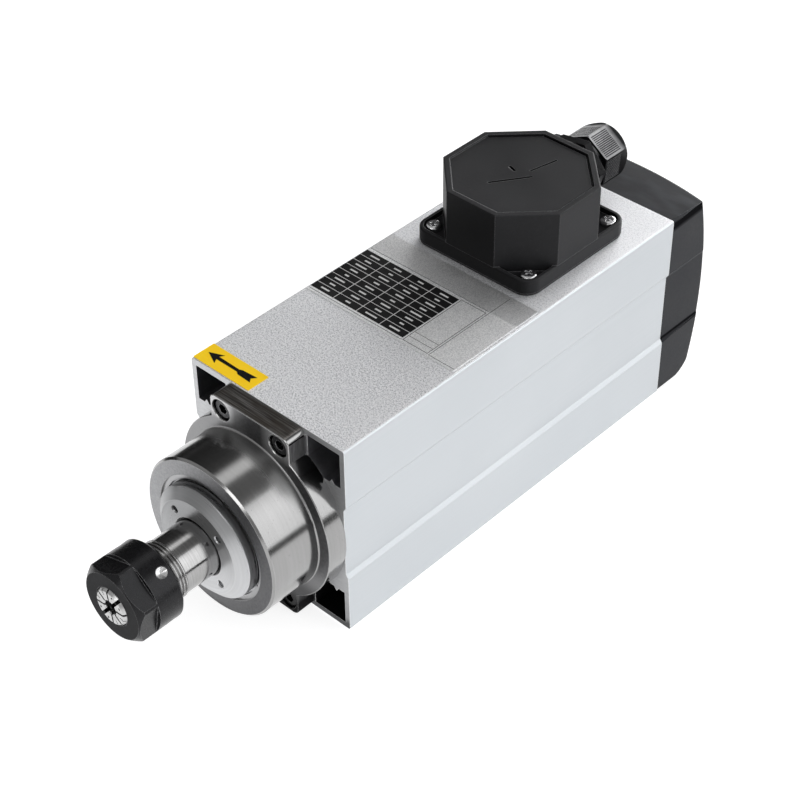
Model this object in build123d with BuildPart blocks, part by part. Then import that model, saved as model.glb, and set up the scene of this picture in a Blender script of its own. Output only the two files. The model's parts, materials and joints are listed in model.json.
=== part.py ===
from build123d import *
import os
from math import cos, radians, sin, sqrt, tan

os.makedirs("parts", exist_ok=True)

# ---------------------------------------------------------------------------
# Air-cooled motor spindle with an ER20 nose.
# +Z up, spindle axis along Y with the nose toward -Y, X across the width.
# The origin is the middle of the footprint at the level of the body's bottom
# face.  "a" is the distance along the axis from the body's front end face,
# positive toward the rear.  All dimensions in millimetres.
# ---------------------------------------------------------------------------
body_w = 82.0            # width of the extruded body
body_h = 93.0            # height of the extruded body
body_l = 198.2           # length of the extrusion
front_y = -74.5          # Y of the body's front end face
axis_z = body_h / 2      # height of the spindle axis
stator_bore_r = 37.5
wall = 2.4               # thin outer walls of the extrusion
web_r = 40.5             # outer radius of the stator tube inside the extrusion
band_half = 18.4         # half height of the sunk band along each side face
band_depth = 1.2

flange_r = 40.5          # round front flange
flange_t = 9.0
lug_w = 42.4             # screw lugs above and below the round flange
lug_half_h = 45.7
nose_r = 35.0            # ground register of the nose
nose_front = -32.7       # a of the nose end face
screw_x = 15.3           # flange and cowl screw pattern
screw_z = 40.0

shaft_r = 12.0
thread_r = 12.45         # M25 x 1.5 nose thread
thread_pitch = 1.5
thread_root_r = 11.55
thread_front = -75.4
thread_end = -54.2
journal_r = 12.5
taper_half = radians(8.0)

collet_front = -82.0
collet_rear = -50.5
tool_r = 3.0             # tool shank 6 mm
nut_front = -81.0
nut_rear = -60.3
nut_r = 17.0
nut_af = 30.0

core_front = 38.0        # stator and rotor stacks
core_rear = 138.0
slots = 18
rotor_r = 19.9
stator_r_in = 20.3

cowl_rear = 231.0        # top of the domed rear face
dome_r = 175.0
cowl_wall = 2.4
cowl_seat = 207.5        # a of the cowl screws' seats

box_w = 62.6             # terminal box flange
box_front = 114.8
box_rear = 179.2
box_af = 62.0            # octagonal tower, across flats
box_mid = 146.0
box_top = 125.0
box_floor = 94.0
box_rim = 100.3
box_pocket = 97.8
gland_z = 110.0


def sec(a):
    """Cross-section plane at axial distance a: local x = +X, local y = +Z."""
    return Plane(origin=(0, front_y + a, axis_z), x_dir=(1, 0, 0), z_dir=(0, -1, 0))


def fy(a):
    """Row Y of axial distance a."""
    return front_y + a


# half-plane for turned pieces: local x = a, local y = radius
turn = Plane(origin=(0, front_y, axis_z), x_dir=(0, 1, 0), z_dir=(1, 0, 0))
spin = Axis((0, front_y, axis_z), (0, 1, 0))


def report(item, name):
    item.label = name
    export_step(item, "parts/" + name + ".step")
    print(name, "solids", len(item.solids()), "volume", round(item.volume, 1))


# ---------------------------------------------------------------------------
# Extruded body
# ---------------------------------------------------------------------------
hw, hh = body_w / 2, body_h / 2
pocket = [
    (hw - wall, hh - wall - 0.2),
    (hw - wall, 27.4),
    (35.4, 27.4),
    (34.1, 29.3),
    (32.8, 27.4),
]
with BuildPart() as motor_body:
    with BuildSketch(sec(0)) as body_profile:
        RectangleRounded(body_w, body_h, 1.0)
        with Locations((hw, 0), (-hw, 0)):
            Rectangle(2 * band_depth, 2 * band_half - 3.4, mode=Mode.SUBTRACT)
        for side in (1, -1):
            for up in (1, -1):
                with BuildLine():
                    Polyline(
                        (side * (hw + 0.01), up * (band_half + 0.2)),
                        (side * (hw + 0.01), up * (band_half - 2.2)),
                        (side * (hw - band_depth), up * (band_half - 2.2)),
                        (side * (hw - band_depth), up * (band_half - 1.7)),
                        (side * (hw + 0.01), up * (band_half + 0.2)),
                    )
                make_face(mode=Mode.SUBTRACT)
        Circle(stator_bore_r, mode=Mode.SUBTRACT)
        for side in (1, -1):
            for up in (1, -1):
                pts = [(side * x, up * z) for x, z in pocket]
                start = (side * sqrt(web_r**2 - 27.4**2), up * 27.4)
                mid_x = 26.0
                middle = (side * mid_x, up * sqrt(web_r**2 - mid_x**2))
                end_x = 22.0
                end = (side * end_x, up * sqrt(web_r**2 - end_x**2))
                top = (side * end_x, up * (hh - wall - 0.2))
                with BuildLine():
                    Polyline(*pts, start)
                    ThreePointArc(start, middle, end)
                    Polyline(end, top, pts[0])
                make_face(mode=Mode.SUBTRACT)
    extrude(amount=-body_l)
    # tapped holes for the flange screws and for the cowl screws
    with BuildSketch(sec(0)):
        with GridLocations(2 * screw_x, 2 * screw_z, 2, 2):
            Circle(2.5)
    extrude(amount=-20, mode=Mode.SUBTRACT)
    with BuildSketch(sec(body_l)):
        with GridLocations(2 * screw_x, 2 * screw_z, 2, 2):
            Circle(2.0)
    extrude(amount=20, mode=Mode.SUBTRACT)
    # four tapped mounting holes in the bottom face
    with BuildSketch(Plane.XY):
        with Locations((0, fy(99))):
            with GridLocations(30, 100, 2, 2):
                Circle(3.0)
    extrude(amount=9, mode=Mode.SUBTRACT)
    # wire passage from the stator bore into the terminal box
    with BuildSketch(Plane.XY.offset(body_h)):
        with Locations((0, fy(160))):
            Circle(7.0)
    extrude(amount=-14, mode=Mode.SUBTRACT)
    # screw holes for the terminal box and the terminal block
    with BuildSketch(Plane.XY.offset(body_h)):
        with Locations((0, fy(147.2))):
            with GridLocations(51.2, 51.2, 2, 2):
                Circle(1.75)
        with Locations((-14, fy(128)), (14, fy(128)), (21, fy(152))):
            Circle(1.5)
    extrude(amount=-6, mode=Mode.SUBTRACT)
report(motor_body.part, "motor_body")

# ---------------------------------------------------------------------------
# Stator
# ---------------------------------------------------------------------------
with BuildPart() as stator_core:
    with BuildSketch(sec(core_front)):
        Circle(stator_bore_r)
        Circle(stator_r_in, mode=Mode.SUBTRACT)
        with PolarLocations(27.3, slots):
            Rectangle(9.4, 4.2, mode=Mode.SUBTRACT)
        with PolarLocations(21.5, slots):
            Rectangle(4.0, 2.0, mode=Mode.SUBTRACT)
    extrude(amount=core_front - core_rear)
report(stator_core.part, "stator_core")

with BuildPart() as stator_windings:
    for first, last in ((23.0, 38.0), (138.0, 153.0)):
        with BuildSketch(turn) as end_turn:
            with Locations(((first + last) / 2, 28.2)):
                Rectangle(last - first, 10.4)
            outer_side = first if first < 50 else last
            fillet(
                [v for v in end_turn.vertices() if abs(v.Y - front_y - outer_side) < 0.01],
                3.5,
            )
        revolve(axis=spin)
    with BuildSketch(sec(37.5)):
        with PolarLocations(27.3, slots):
            Rectangle(8.6, 3.6)
    extrude(amount=-101.0)
report(stator_windings.part, "stator_windings")

# ---------------------------------------------------------------------------
# Front flange with the ground nose, one turned and milled steel piece
# ---------------------------------------------------------------------------
with BuildPart() as front_flange:
    with BuildSketch(sec(0)) as flange_outline:
        Circle(flange_r)
        Rectangle(lug_w, 2 * lug_half_h)
    extrude(amount=flange_t)
    # rounded lug corners and a light edge break on the front outline
    fillet(
        [
            e
            for e in front_flange.edges().filter_by(Axis.Y)
            if abs(abs(e.center().X) - lug_w / 2) < 0.05 and abs(abs(e.center().Z - axis_z) - lug_half_h) < 0.05
        ],
        3.0,
    )
    chamfer(front_flange.faces().sort_by(Axis.Y)[0].edges(), 0.3)
    with BuildSketch(turn):
        with BuildLine():
            Polyline(
                (nose_front, 27.8),
                (nose_front, nose_r - 0.9),
                (nose_front + 0.9, nose_r),
                (-flange_t - 0.7, nose_r),
                (-flange_t - 0.4, nose_r + 0.1),
                (-flange_t - 0.1, nose_r + 0.4),
                (-flange_t, nose_r + 0.7),
                (0, nose_r + 0.7),
                (0, 37.3),
                (6.0, 37.3),
                (6.0, 20.5),
                (0, 20.5),
                (0, 30.0),
                (-8, 30.0),
                (nose_front, 27.8),
            )
        make_face()
    revolve(axis=spin)
    # bore: front recess, clip groove, bearing seat, rear shoulder
    with BuildSketch(turn):
        with BuildLine():
            Polyline(
                (nose_front - 1, 0),
                (nose_front - 1, 27.8),
                (nose_front, 27.8),
                (nose_front + 0.4, 27.4),
                (-31.9, 27.4),
                (-31.9, 28.8),
                (-30.5, 28.8),
                (-30.5, 27.4),
                (-28.9, 27.4),
                (-28.9, 23.5),
                (0, 23.5),
                (0, 20.5),
                (7.0, 20.5),
                (7.0, 0),
                (nose_front - 1, 0),
            )
        make_face()
    revolve(axis=spin, mode=Mode.SUBTRACT)
    with BuildSketch(sec(-flange_t)):
        with GridLocations(2 * screw_x, 2 * screw_z, 2, 2):
            Circle(4.6)
    extrude(amount=-6.0, mode=Mode.SUBTRACT)
    chamfer(
        [
            e
            for e in front_flange.edges().filter_by(GeomType.CIRCLE)
            if abs(e.center().Y - fy(-flange_t)) < 0.01 and abs(e.radius - 4.6) < 0.01
        ],
        0.3,
    )
    with BuildSketch(sec(-flange_t)):
        with GridLocations(2 * screw_x, 2 * screw_z, 2, 2):
            Circle(2.75)
    extrude(amount=-12.0, mode=Mode.SUBTRACT)
report(front_flange.part, "front_flange")

with BuildPart() as front_flange_screws:
    with BuildSketch(sec(-3.0)):
        with GridLocations(2 * screw_x, 2 * screw_z, 2, 2):
            Circle(4.25)
    extrude(amount=5.0)
    chamfer(
        [e for e in front_flange_screws.edges().filter_by(GeomType.CIRCLE) if abs(e.center().Y - fy(-8.0)) < 0.01],
        0.4,
    )
    with BuildSketch(sec(-3.0)):
        with GridLocations(2 * screw_x, 2 * screw_z, 2, 2):
            Circle(2.45)
    extrude(amount=-19.0)
    with BuildSketch(sec(-8.0)):
        with GridLocations(2 * screw_x, 2 * screw_z, 2, 2):
            RegularPolygon(2.0, 6, major_radius=False)
    extrude(amount=-2.8, mode=Mode.SUBTRACT)
report(front_flange_screws.part, "front_flange_screws")

# ---------------------------------------------------------------------------
# Front bearing pair 25 x 47 x 12, seal ring and clip
# ---------------------------------------------------------------------------
front_rows = (-21.0, -6.0)
fb_pitch, fb_ball, fb_race = 18.0, 3.45, 3.58

with BuildPart() as front_outer_rings:
    for mid in front_rows:
        with BuildSketch(turn):
            with Locations((mid, 21.8)):
                RectangleRounded(12.0, 3.4, 0.5)
            with Locations((mid, fb_pitch)):
                Circle(fb_race, mode=Mode.SUBTRACT)
        revolve(axis=spin)
report(front_outer_rings.part, "front_bearing_outer_rings")

with BuildPart() as front_inner_rings:
    for mid in front_rows:
        with BuildSketch(turn):
            with Locations((mid, 14.15)):
                RectangleRounded(12.0, 3.3, 0.5)
            with Locations((mid, fb_pitch)):
                Circle(fb_race, mode=Mode.SUBTRACT)
        revolve(axis=spin)
report(front_inner_rings.part, "front_bearing_inner_rings")

with BuildPart() as front_balls:
    for mid in front_rows:
        with Locations(sec(mid)):
            with PolarLocations(fb_pitch, 13):
                Sphere(fb_ball)
report(front_balls.part, "front_bearing_balls")

with BuildPart() as front_cages:
    for mid in front_rows:
        with BuildSketch(turn):
            with Locations((mid, fb_pitch)):
                Rectangle(9.0, 1.8)
        revolve(axis=spin)
        with Locations(sec(mid)):
            with PolarLocations(fb_pitch, 13):
                Cylinder(fb_ball + 0.12, 8.0, rotation=(0, 90, 0), mode=Mode.SUBTRACT)
report(front_cages.part, "front_bearing_cages")

with BuildPart() as outer_spacer:
    with BuildSketch(turn):
        with Locations((-13.5, 22.25)):
            Rectangle(3.0, 2.4)
    revolve(axis=spin)
report(outer_spacer.part, "front_outer_spacer")

with BuildPart() as inner_spacer:
    with BuildSketch(turn):
        with Locations((-13.5, 13.8)):
            Rectangle(3.0, 2.6)
    revolve(axis=spin)
report(inner_spacer.part, "front_inner_spacer")

with BuildPart() as seal_ring:
    with BuildSketch(turn):
        with BuildLine():
            Polyline(
                (-30.5, 17.0),
                (-30.5, 27.3),
                (-28.9, 27.3),
                (-28.9, 23.4),
                (-27.0, 23.4),
                (-27.0, 20.2),
                (-28.6, 19.6),
                (-28.6, 17.0),
                (-30.5, 17.0),
            )
        make_face()
    revolve(axis=spin)
report(seal_ring.part, "front_seal_ring")

# internal retaining clip: a split ring, narrower between its two steps
clip_r_out = 28.7
with BuildPart() as retaining_clip:
    with BuildSketch(sec(-31.85)):
        Circle(clip_r_out)
        Circle(25.75, mode=Mode.SUBTRACT)
        step_a, step_b = radians(-23), radians(70)
        step_m = (step_a + step_b) / 2
        with BuildLine():
            Polyline(
                (26.35 * cos(step_b), 26.35 * sin(step_b)),
                (24.9 * cos(step_b - 0.05), 24.9 * sin(step_b - 0.05)),
                (20 * cos(step_m), 20 * sin(step_m)),
                (24.9 * cos(step_a + 0.05), 24.9 * sin(step_a + 0.05)),
                (26.35 * cos(step_a), 26.35 * sin(step_a)),
            )
            ThreePointArc(
                (26.35 * cos(step_a), 26.35 * sin(step_a)),
                (26.35 * cos(step_m), 26.35 * sin(step_m)),
                (26.35 * cos(step_b), 26.35 * sin(step_b)),
            )
        make_face(mode=Mode.SUBTRACT)
        with PolarLocations(27, 1, start_angle=205):
            Rectangle(8, 3.0, mode=Mode.SUBTRACT)
    extrude(amount=-1.3)
report(retaining_clip.part, "retaining_clip")

# ---------------------------------------------------------------------------
# Rotor: shaft, lamination stack, squirrel cage, dust cap
# ---------------------------------------------------------------------------
socket_r = 10.46         # taper socket radius at the shaft nose
thread_pts = []
crest = thread_front + 0.9
while crest + thread_pitch < thread_end:
    thread_pts += [
        (crest, thread_r),
        (crest + 0.19, thread_r),
        (crest + 0.66, thread_root_r),
        (crest + 0.87, thread_root_r),
        (crest + 1.34, thread_r),
    ]
    crest += thread_pitch
with BuildPart() as rotor_shaft:
    with BuildSketch(turn):
        with BuildLine():
            Polyline(
                (thread_front, socket_r + 0.5),
                (thread_front, thread_r - 0.9),
                *thread_pts,
                (crest, thread_r),
                (crest + 0.3, thread_r),
                (crest + 0.75, shaft_r),
                (-37.4, shaft_r),
                (-36.9, journal_r),
                (0, journal_r),
                (0, 16.0),
                (15.4, 16.0),
                (16.0, 14.0),
                (150.0, 14.0),
                (151.0, 12.0),
                (187.5, 12.0),
                (187.5, 10.0),
                (205.0, 10.0),
                (205.0, 8.0),
                (216.4, 8.0),
                (217.0, 7.4),
                (217.0, 2.5),
                (204.0, 2.5),
                (202.6, 0),
                (-38.0, 0),
                (-42.0, 6.4),
                (-49.0, 6.4),
                (-49.0, socket_r - (-49.0 - thread_front) * tan(taper_half)),
                (thread_front + 0.5, socket_r - 0.5 * tan(taper_half)),
                (thread_front, socket_r + 0.5),
            )
        make_face()
    revolve(axis=spin)
report(rotor_shaft.part, "rotor_shaft")

with BuildPart() as rotor_core:
    with BuildSketch(sec(core_front)):
        Circle(rotor_r)
        Circle(14.0, mode=Mode.SUBTRACT)
        with PolarLocations(17.7, 22):
            Circle(1.5, mode=Mode.SUBTRACT)
    extrude(amount=core_front - core_rear)
report(rotor_core.part, "rotor_core")

with BuildPart() as rotor_cage:
    with BuildSketch(turn):
        with Locations((core_front - 3.5, 17.0), (core_rear + 3.5, 17.0)):
            Rectangle(7.0, 4.8)
    revolve(axis=spin)
    with BuildSketch(sec(core_front - 1)):
        with PolarLocations(17.7, 22):
            Circle(1.5)
    extrude(amount=core_front - core_rear - 2)
report(rotor_cage.part, "rotor_cage")

cap_face = -38.9
with BuildPart() as dust_cap:
    with BuildSketch(turn):
        with BuildLine():
            Polyline(
                (cap_face, 12.95),
                (cap_face, 20.5),
                (-35.7, 24.8),
                (-35.4, 25.0),
                (-31.5, 25.0),
                (-31.5, 16.4),
                (-27.0, 16.4),
                (-27.0, 12.5),
                (-36.9, 12.5),
                (-37.2, 12.6),
                (cap_face + 0.35, 12.6),
                (cap_face, 12.95),
            )
        make_face()
    revolve(axis=spin)
    with BuildSketch(sec(cap_face)):
        with PolarLocations(16.7, 4, start_angle=43):
            Circle(1.45)
    extrude(amount=-1.8, mode=Mode.SUBTRACT)
    chamfer(
        [
            e
            for e in dust_cap.edges().filter_by(GeomType.CIRCLE)
            if abs(e.center().Y - fy(cap_face)) < 0.01 and abs(e.radius - 1.45) < 0.01
        ],
        0.45,
    )
report(dust_cap.part, "dust_cap")

# ---------------------------------------------------------------------------
# Collet and collet nut
# ---------------------------------------------------------------------------
collet_big = 10.5
slot_angle = 51.0
with BuildPart() as collet:
    with BuildSketch(turn):
        with BuildLine():
            Polyline(
                (collet_front, tool_r + 0.4),
                (collet_front, 7.3),
                (-78.1, 10.3),
                (-77.7, 10.3),
                (-77.7, 9.3),
                (-75.9, 9.3),
                (-75.9, collet_big - 0.07),
                (collet_rear, collet_big - 0.07 - (collet_rear + 75.9) * tan(taper_half)),
                (collet_rear, tool_r + 0.6),
                (-62.0, tool_r + 0.6),
                (-62.0, tool_r),
                (collet_front + 0.4, tool_r),
                (collet_front, tool_r + 0.4),
            )
        make_face()
    revolve(axis=spin)
    with BuildSketch(sec(collet_front)):
        with PolarLocations(8.6, 8, start_angle=slot_angle):
            Rectangle(13.2, 0.9)
        with PolarLocations(8.6, 2, start_angle=slot_angle):
            Rectangle(13.2, 1.5)
    extrude(amount=-27.5, mode=Mode.SUBTRACT)
    with BuildSketch(sec(collet_rear)):
        with PolarLocations(8.6, 8, start_angle=slot_angle + 22.5):
            Rectangle(13.2, 0.5)
    extrude(amount=22.5, mode=Mode.SUBTRACT)
    # small holes beside the wide slot, short notches in the other segments
    with BuildSketch(sec(collet_front)):
        for k in (22.5, -22.5, 157.5, 202.5):
            with PolarLocations(6.3, 1, start_angle=slot_angle + k):
                Circle(0.5)
        for k in (67.5, 112.5, 247.5, 292.5):
            with PolarLocations(7.0, 1, start_angle=slot_angle + k):
                Rectangle(3.0, 0.5)
    extrude(amount=-1.2, mode=Mode.SUBTRACT)
report(collet.part, "collet")

with BuildPart() as collet_nut:
    with BuildSketch(turn):
        with BuildLine():
            Polyline(
                (nut_front, 8.4),
                (nut_front, 14.5),
                (-78.5, nut_r),
                (-61.4, nut_r),
                (nut_rear, 15.8),
                (nut_rear, 13.2),
                (nut_rear + -0.7, 12.55),
                (-75.0, 12.55),
                (-75.9, 12.2),
                (-75.9, 11.6),
                (-77.5, 11.6),
                (-77.5, 11.0),
                (-78.0, 10.75),
                (nut_front, 8.4),
            )
        make_face()
    revolve(axis=spin)
    # six spanner flats milled behind the front chamfer
    with BuildSketch(sec(nut_front - 1)) as flats:
        Circle(nut_r + 3)
        RegularPolygon(nut_af / 2, 6, major_radius=False, rotation=18.5, mode=Mode.SUBTRACT)
    extrude(amount=-9.6, mode=Mode.SUBTRACT)
    with BuildSketch(turn):
        with BuildLine():
            Polyline(
                (-72.5, 14.6),
                (-72.5, nut_r + 1.5),
                (-70.0, nut_r + 1.5),
                (-70.0, nut_r),
                (-71.9, 15.0),
                (-72.5, 14.6),
            )
        make_face()
    # pin dimples for a hook spanner
    with Locations(sec(-65.0)):
        with PolarLocations(16.3, 4, start_angle=50):
            Cone(0.15, 3.05, 2.2, rotation=(0, 90, 0), mode=Mode.SUBTRACT)
report(collet_nut.part, "collet_nut")

# extraction ring inside the nut, it hooks the collet's groove
with BuildPart() as extraction_ring:
    with BuildSketch(turn):
        with BuildLine():
            Polyline(
                (-77.5, 9.5),
                (-77.5, 11.6),
                (-76.1, 11.6),
                (-76.1, 9.5),
                (-77.5, 9.5),
            )
        make_face()
    revolve(axis=spin)
report(extraction_ring.part, "extraction_ring")

# ---------------------------------------------------------------------------
# Rear end: shield, bearing 20 x 42 x 12, wave spring, lock nut, fan
# ---------------------------------------------------------------------------
with BuildPart() as rear_shield:
    with BuildSketch(sec(body_l)) as shield_outline:
        Circle(40.0)
        Rectangle(40.6, 86.4)
        Rectangle(73.6, 100, mode=Mode.INTERSECT)
    extrude(amount=-5.0)
    with BuildSketch(turn):
        with BuildLine():
            Polyline(
                (182.0, 13.5),
                (182.0, 25.0),
                (192.0, 27.0),
                (192.0, 33.5),
                (186.0, 33.5),
                (186.0, 37.3),
                (body_l + 1, 37.3),
                (body_l + 1, 21.0),
                (185.0, 21.0),
                (185.0, 13.5),
                (182.0, 13.5),
            )
        make_face()
    revolve(axis=spin)
    with BuildSketch(sec(body_l + 6)):
        Circle(21.0)
    extrude(amount=19.2, mode=Mode.SUBTRACT)
    with BuildSketch(sec(body_l)):
        with GridLocations(2 * screw_x, 2 * screw_z, 2, 2):
            Circle(2.25)
    extrude(amount=-6.0, mode=Mode.SUBTRACT)
report(rear_shield.part, "rear_end_shield")

rb_mid, rb_pitch, rb_ball, rb_race = 193.5, 15.5, 3.1, 3.23
with BuildPart() as rear_outer_ring:
    with BuildSketch(turn):
        with Locations((rb_mid, 19.3)):
            RectangleRounded(12.0, 3.36, 0.5)
        with Locations((rb_mid, rb_pitch)):
            Circle(rb_race, mode=Mode.SUBTRACT)
    revolve(axis=spin)
report(rear_outer_ring.part, "rear_bearing_outer_ring")

with BuildPart() as rear_inner_ring:
    with BuildSketch(turn):
        with Locations((rb_mid, 11.65)):
            RectangleRounded(12.0, 3.3, 0.5)
        with Locations((rb_mid, rb_pitch)):
            Circle(rb_race, mode=Mode.SUBTRACT)
    revolve(axis=spin)
report(rear_inner_ring.part, "rear_bearing_inner_ring")

with BuildPart() as rear_balls:
    with Locations(sec(rb_mid)):
        with PolarLocations(rb_pitch, 10):
            Sphere(rb_ball)
report(rear_balls.part, "rear_bearing_balls")

with BuildPart() as rear_cage:
    with BuildSketch(turn):
        with Locations((rb_mid, rb_pitch)):
            Rectangle(8.0, 1.6)
    revolve(axis=spin)
    with Locations(sec(rb_mid)):
        with PolarLocations(rb_pitch, 10):
            Cylinder(rb_ball + 0.12, 8.0, rotation=(0, 90, 0), mode=Mode.SUBTRACT)
report(rear_cage.part, "rear_bearing_cage")

# wave washer that preloads the rear bearing's outer ring
with BuildPart() as wave_spring:
    with BuildSketch(sec(185.0)):
        Circle(20.6)
        Circle(17.6, mode=Mode.SUBTRACT)
    extrude(amount=-2.5)
    for k in range(3):
        mid_angle = 120 * k
        with Locations(sec(185.0)):
            with PolarLocations(19.0, 1, start_angle=mid_angle):
                Box(8.0, 14.0, 1.6, mode=Mode.SUBTRACT)
        with Locations(sec(187.5)):
            with PolarLocations(19.0, 1, start_angle=mid_angle + 60):
                Box(8.0, 14.0, 1.6, mode=Mode.SUBTRACT)
report(wave_spring.part, "rear_wave_spring")

with BuildPart() as rear_lock_nut:
    with BuildSketch(sec(199.5)):
        Circle(15.0)
        Circle(10.0, mode=Mode.SUBTRACT)
        with PolarLocations(15.0, 4):
            Rectangle(3.4, 4.0, mode=Mode.SUBTRACT)
    extrude(amount=-5.0)
report(rear_lock_nut.part, "rear_lock_nut")

with BuildPart() as fan:
    with BuildSketch(turn):
        with BuildLine():
            Polyline(
                (205.2, 8.0),
                (205.2, 12.5),
                (207.0, 14.0),
                (218.0, 14.0),
                (218.0, 8.0),
                (205.2, 8.0),
            )
        make_face()
    revolve(axis=spin)
    for k in range(9):
        angle = 40 * k
        blade_plane = Plane(
            origin=(12.5 * cos(radians(angle)), fy(212.4), axis_z + 12.5 * sin(radians(angle))),
            x_dir=(-sin(radians(angle)) * cos(radians(38)), sin(radians(38)), cos(radians(angle)) * cos(radians(38))),
            z_dir=(cos(radians(angle)), 0, sin(radians(angle))),
        )
        with BuildSketch(blade_plane):
            RectangleRounded(15.0, 1.7, 0.8)
        extrude(amount=20.0)
    with BuildSketch(sec(204)):
        Circle(8.0)
    extrude(amount=-16, mode=Mode.SUBTRACT)
    with BuildSketch(sec(200)):
        Circle(50)
        Circle(32.5, mode=Mode.SUBTRACT)
    extrude(amount=-24, mode=Mode.SUBTRACT)
report(fan.part, "cooling_fan")

with BuildPart() as fan_washer:
    with BuildSketch(sec(218.0)):
        Circle(10.5)
        Circle(2.75, mode=Mode.SUBTRACT)
    extrude(amount=-1.2)
report(fan_washer.part, "fan_washer")

with BuildPart() as fan_screw:
    with BuildSketch(sec(219.2)):
        Circle(4.25)
    extrude(amount=-4.2)
    chamfer(fan_screw.faces().sort_by(Axis.Y)[-1].edges(), 0.5)
    with BuildSketch(sec(219.2)):
        Circle(2.45)
    extrude(amount=14.0)
    with BuildSketch(sec(223.4)):
        RegularPolygon(2.0, 6, major_radius=False)
    extrude(amount=2.4, mode=Mode.SUBTRACT)
report(fan_screw.part, "fan_screw")

# ---------------------------------------------------------------------------
# Rear cowl: thin moulded shell with a domed grille
# ---------------------------------------------------------------------------
def cowl_outline(inset):
    """Half outline numbers of the cowl section, inset from the outside."""
    x = hw - inset
    z = hh - inset
    return [
        (-x, -z),
        (x, -z),
        (x, -band_half - 0.2),
        (x - band_depth, -band_half + 1.7),
        (x - band_depth, band_half - 1.7),
        (x, band_half + 0.2),
        (x, z),
        (-x, z),
        (-x, band_half + 0.2),
        (-x + band_depth, band_half - 1.7),
        (-x + band_depth, -band_half + 1.7),
        (-x, -band_half - 0.2),
        (-x, -z),
    ]


with BuildPart() as cowl_cavity:
    with BuildSketch(sec(body_l - 0.5)) as cavity_outline:
        with BuildLine():
            Polyline(*cowl_outline(cowl_wall))
        make_face()
    extrude(amount=-34.0)
    with Locations((0, fy(cowl_rear - dome_r), axis_z)):
        Sphere(dome_r - cowl_wall, mode=Mode.INTERSECT)
    # the side view narrows toward the rear like the outside does
    with BuildSketch(Plane.YZ.offset(-60)):
        with BuildLine():
            Polyline(
                (fy(190), wall),
                (fy(205), wall + 0.4),
                (fy(214), wall + 2.6),
                (fy(219.5), wall + 7.5),
                (fy(240), wall + 30),
                (fy(240), body_h - 12),
                (fy(222), body_h - wall - 3.2),
                (fy(205), body_h - wall - 0.3),
                (fy(190), body_h - wall),
                (fy(190), wall),
            )
        make_face()
    extrude(amount=120, mode=Mode.INTERSECT)

with BuildPart() as rear_cowl:
    with BuildSketch(sec(body_l)) as cowl_face:
        with BuildLine():
            Polyline(*cowl_outline(0.0))
        make_face()
        fillet([v for v in cowl_face.vertices() if abs(abs(v.Z - axis_z) - hh) < 0.01], 2.2)
    extrude(amount=-34.0)
    # long taper and the rounded lower rear edge, seen from the side
    with BuildSketch(Plane.YZ.offset(-60)):
        with BuildLine():
            l1 = Line((fy(190), 0), (fy(body_l), 0))
            l2 = Line(l1 @ 1, (fy(208.0), 0.6))
            l3 = ThreePointArc(l2 @ 1, (fy(217.4), 2.9), (fy(222.6), 9.0))
            l4 = Line(l3 @ 1, (fy(240), 50.0))
            l5 = Line(l4 @ 1, (fy(240), body_h - 2.2))
            l6 = Line(l5 @ 1, (fy(214), body_h - 0.6))
            l7 = Line(l6 @ 1, (fy(body_l), body_h))
            l8 = Line(l7 @ 1, (fy(190), body_h))
            Line(l8 @ 1, l1 @ 0)
        make_face()
    extrude(amount=120, mode=Mode.INTERSECT)
    # sides draw in a little, seen from above
    with BuildSketch(Plane.XY.offset(-5)):
        with BuildLine():
            Polyline(
                (-hw, fy(190)),
                (hw, fy(190)),
                (hw, fy(body_l)),
                (hw - 1.3, fy(236)),
                (-hw + 1.3, fy(236)),
                (-hw, fy(body_l)),
                (-hw, fy(190)),
            )
        make_face()
    extrude(amount=110, mode=Mode.INTERSECT)
    with Locations((0, fy(cowl_rear - dome_r), axis_z)):
        Sphere(dome_r, mode=Mode.INTERSECT)
    rear_face = rear_cowl.faces().filter_by(GeomType.SPHERE).sort_by(SortBy.AREA)[-1]
    fillet(rear_face.edges(), 1.6)
    add(cowl_cavity.part, mode=Mode.SUBTRACT)
    # screw bosses that stand on the end shield
    with BuildSketch(sec(body_l + 5.0)):
        with GridLocations(2 * screw_x, 2 * screw_z, 2, 2):
            Circle(5.2)
    extrude(amount=-5.5)
    with BuildSketch(sec(body_l + 5.0 - 1)):
        with GridLocations(2 * screw_x, 2 * screw_z, 2, 2):
            Circle(2.25)
    extrude(amount=-40.0, mode=Mode.SUBTRACT)
    with BuildSketch(sec(cowl_seat)):
        with GridLocations(2 * screw_x, 2 * screw_z, 2, 2):
            Circle(3.8)
    extrude(amount=-30.0, mode=Mode.SUBTRACT)
    # air slots in the rear wall
    with BuildSketch(sec(222.0)):
        for row in range(-5, 6):
            z = row * 5.6
            half = sqrt(32.0**2 - z**2)
            if abs(row) <= 1:
                for side in (1, -1):
                    with Locations((side * (half + 10.5) / 2, z)):
                        SlotOverall(half - 10.5, 2.8)
            else:
                for side in (1, -1):
                    with Locations((side * (half + 1.6) / 2, z)):
                        SlotOverall(half - 1.6, 2.8)
    extrude(amount=-12.0, mode=Mode.SUBTRACT)
report(rear_cowl.part, "rear_cowl")

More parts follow.
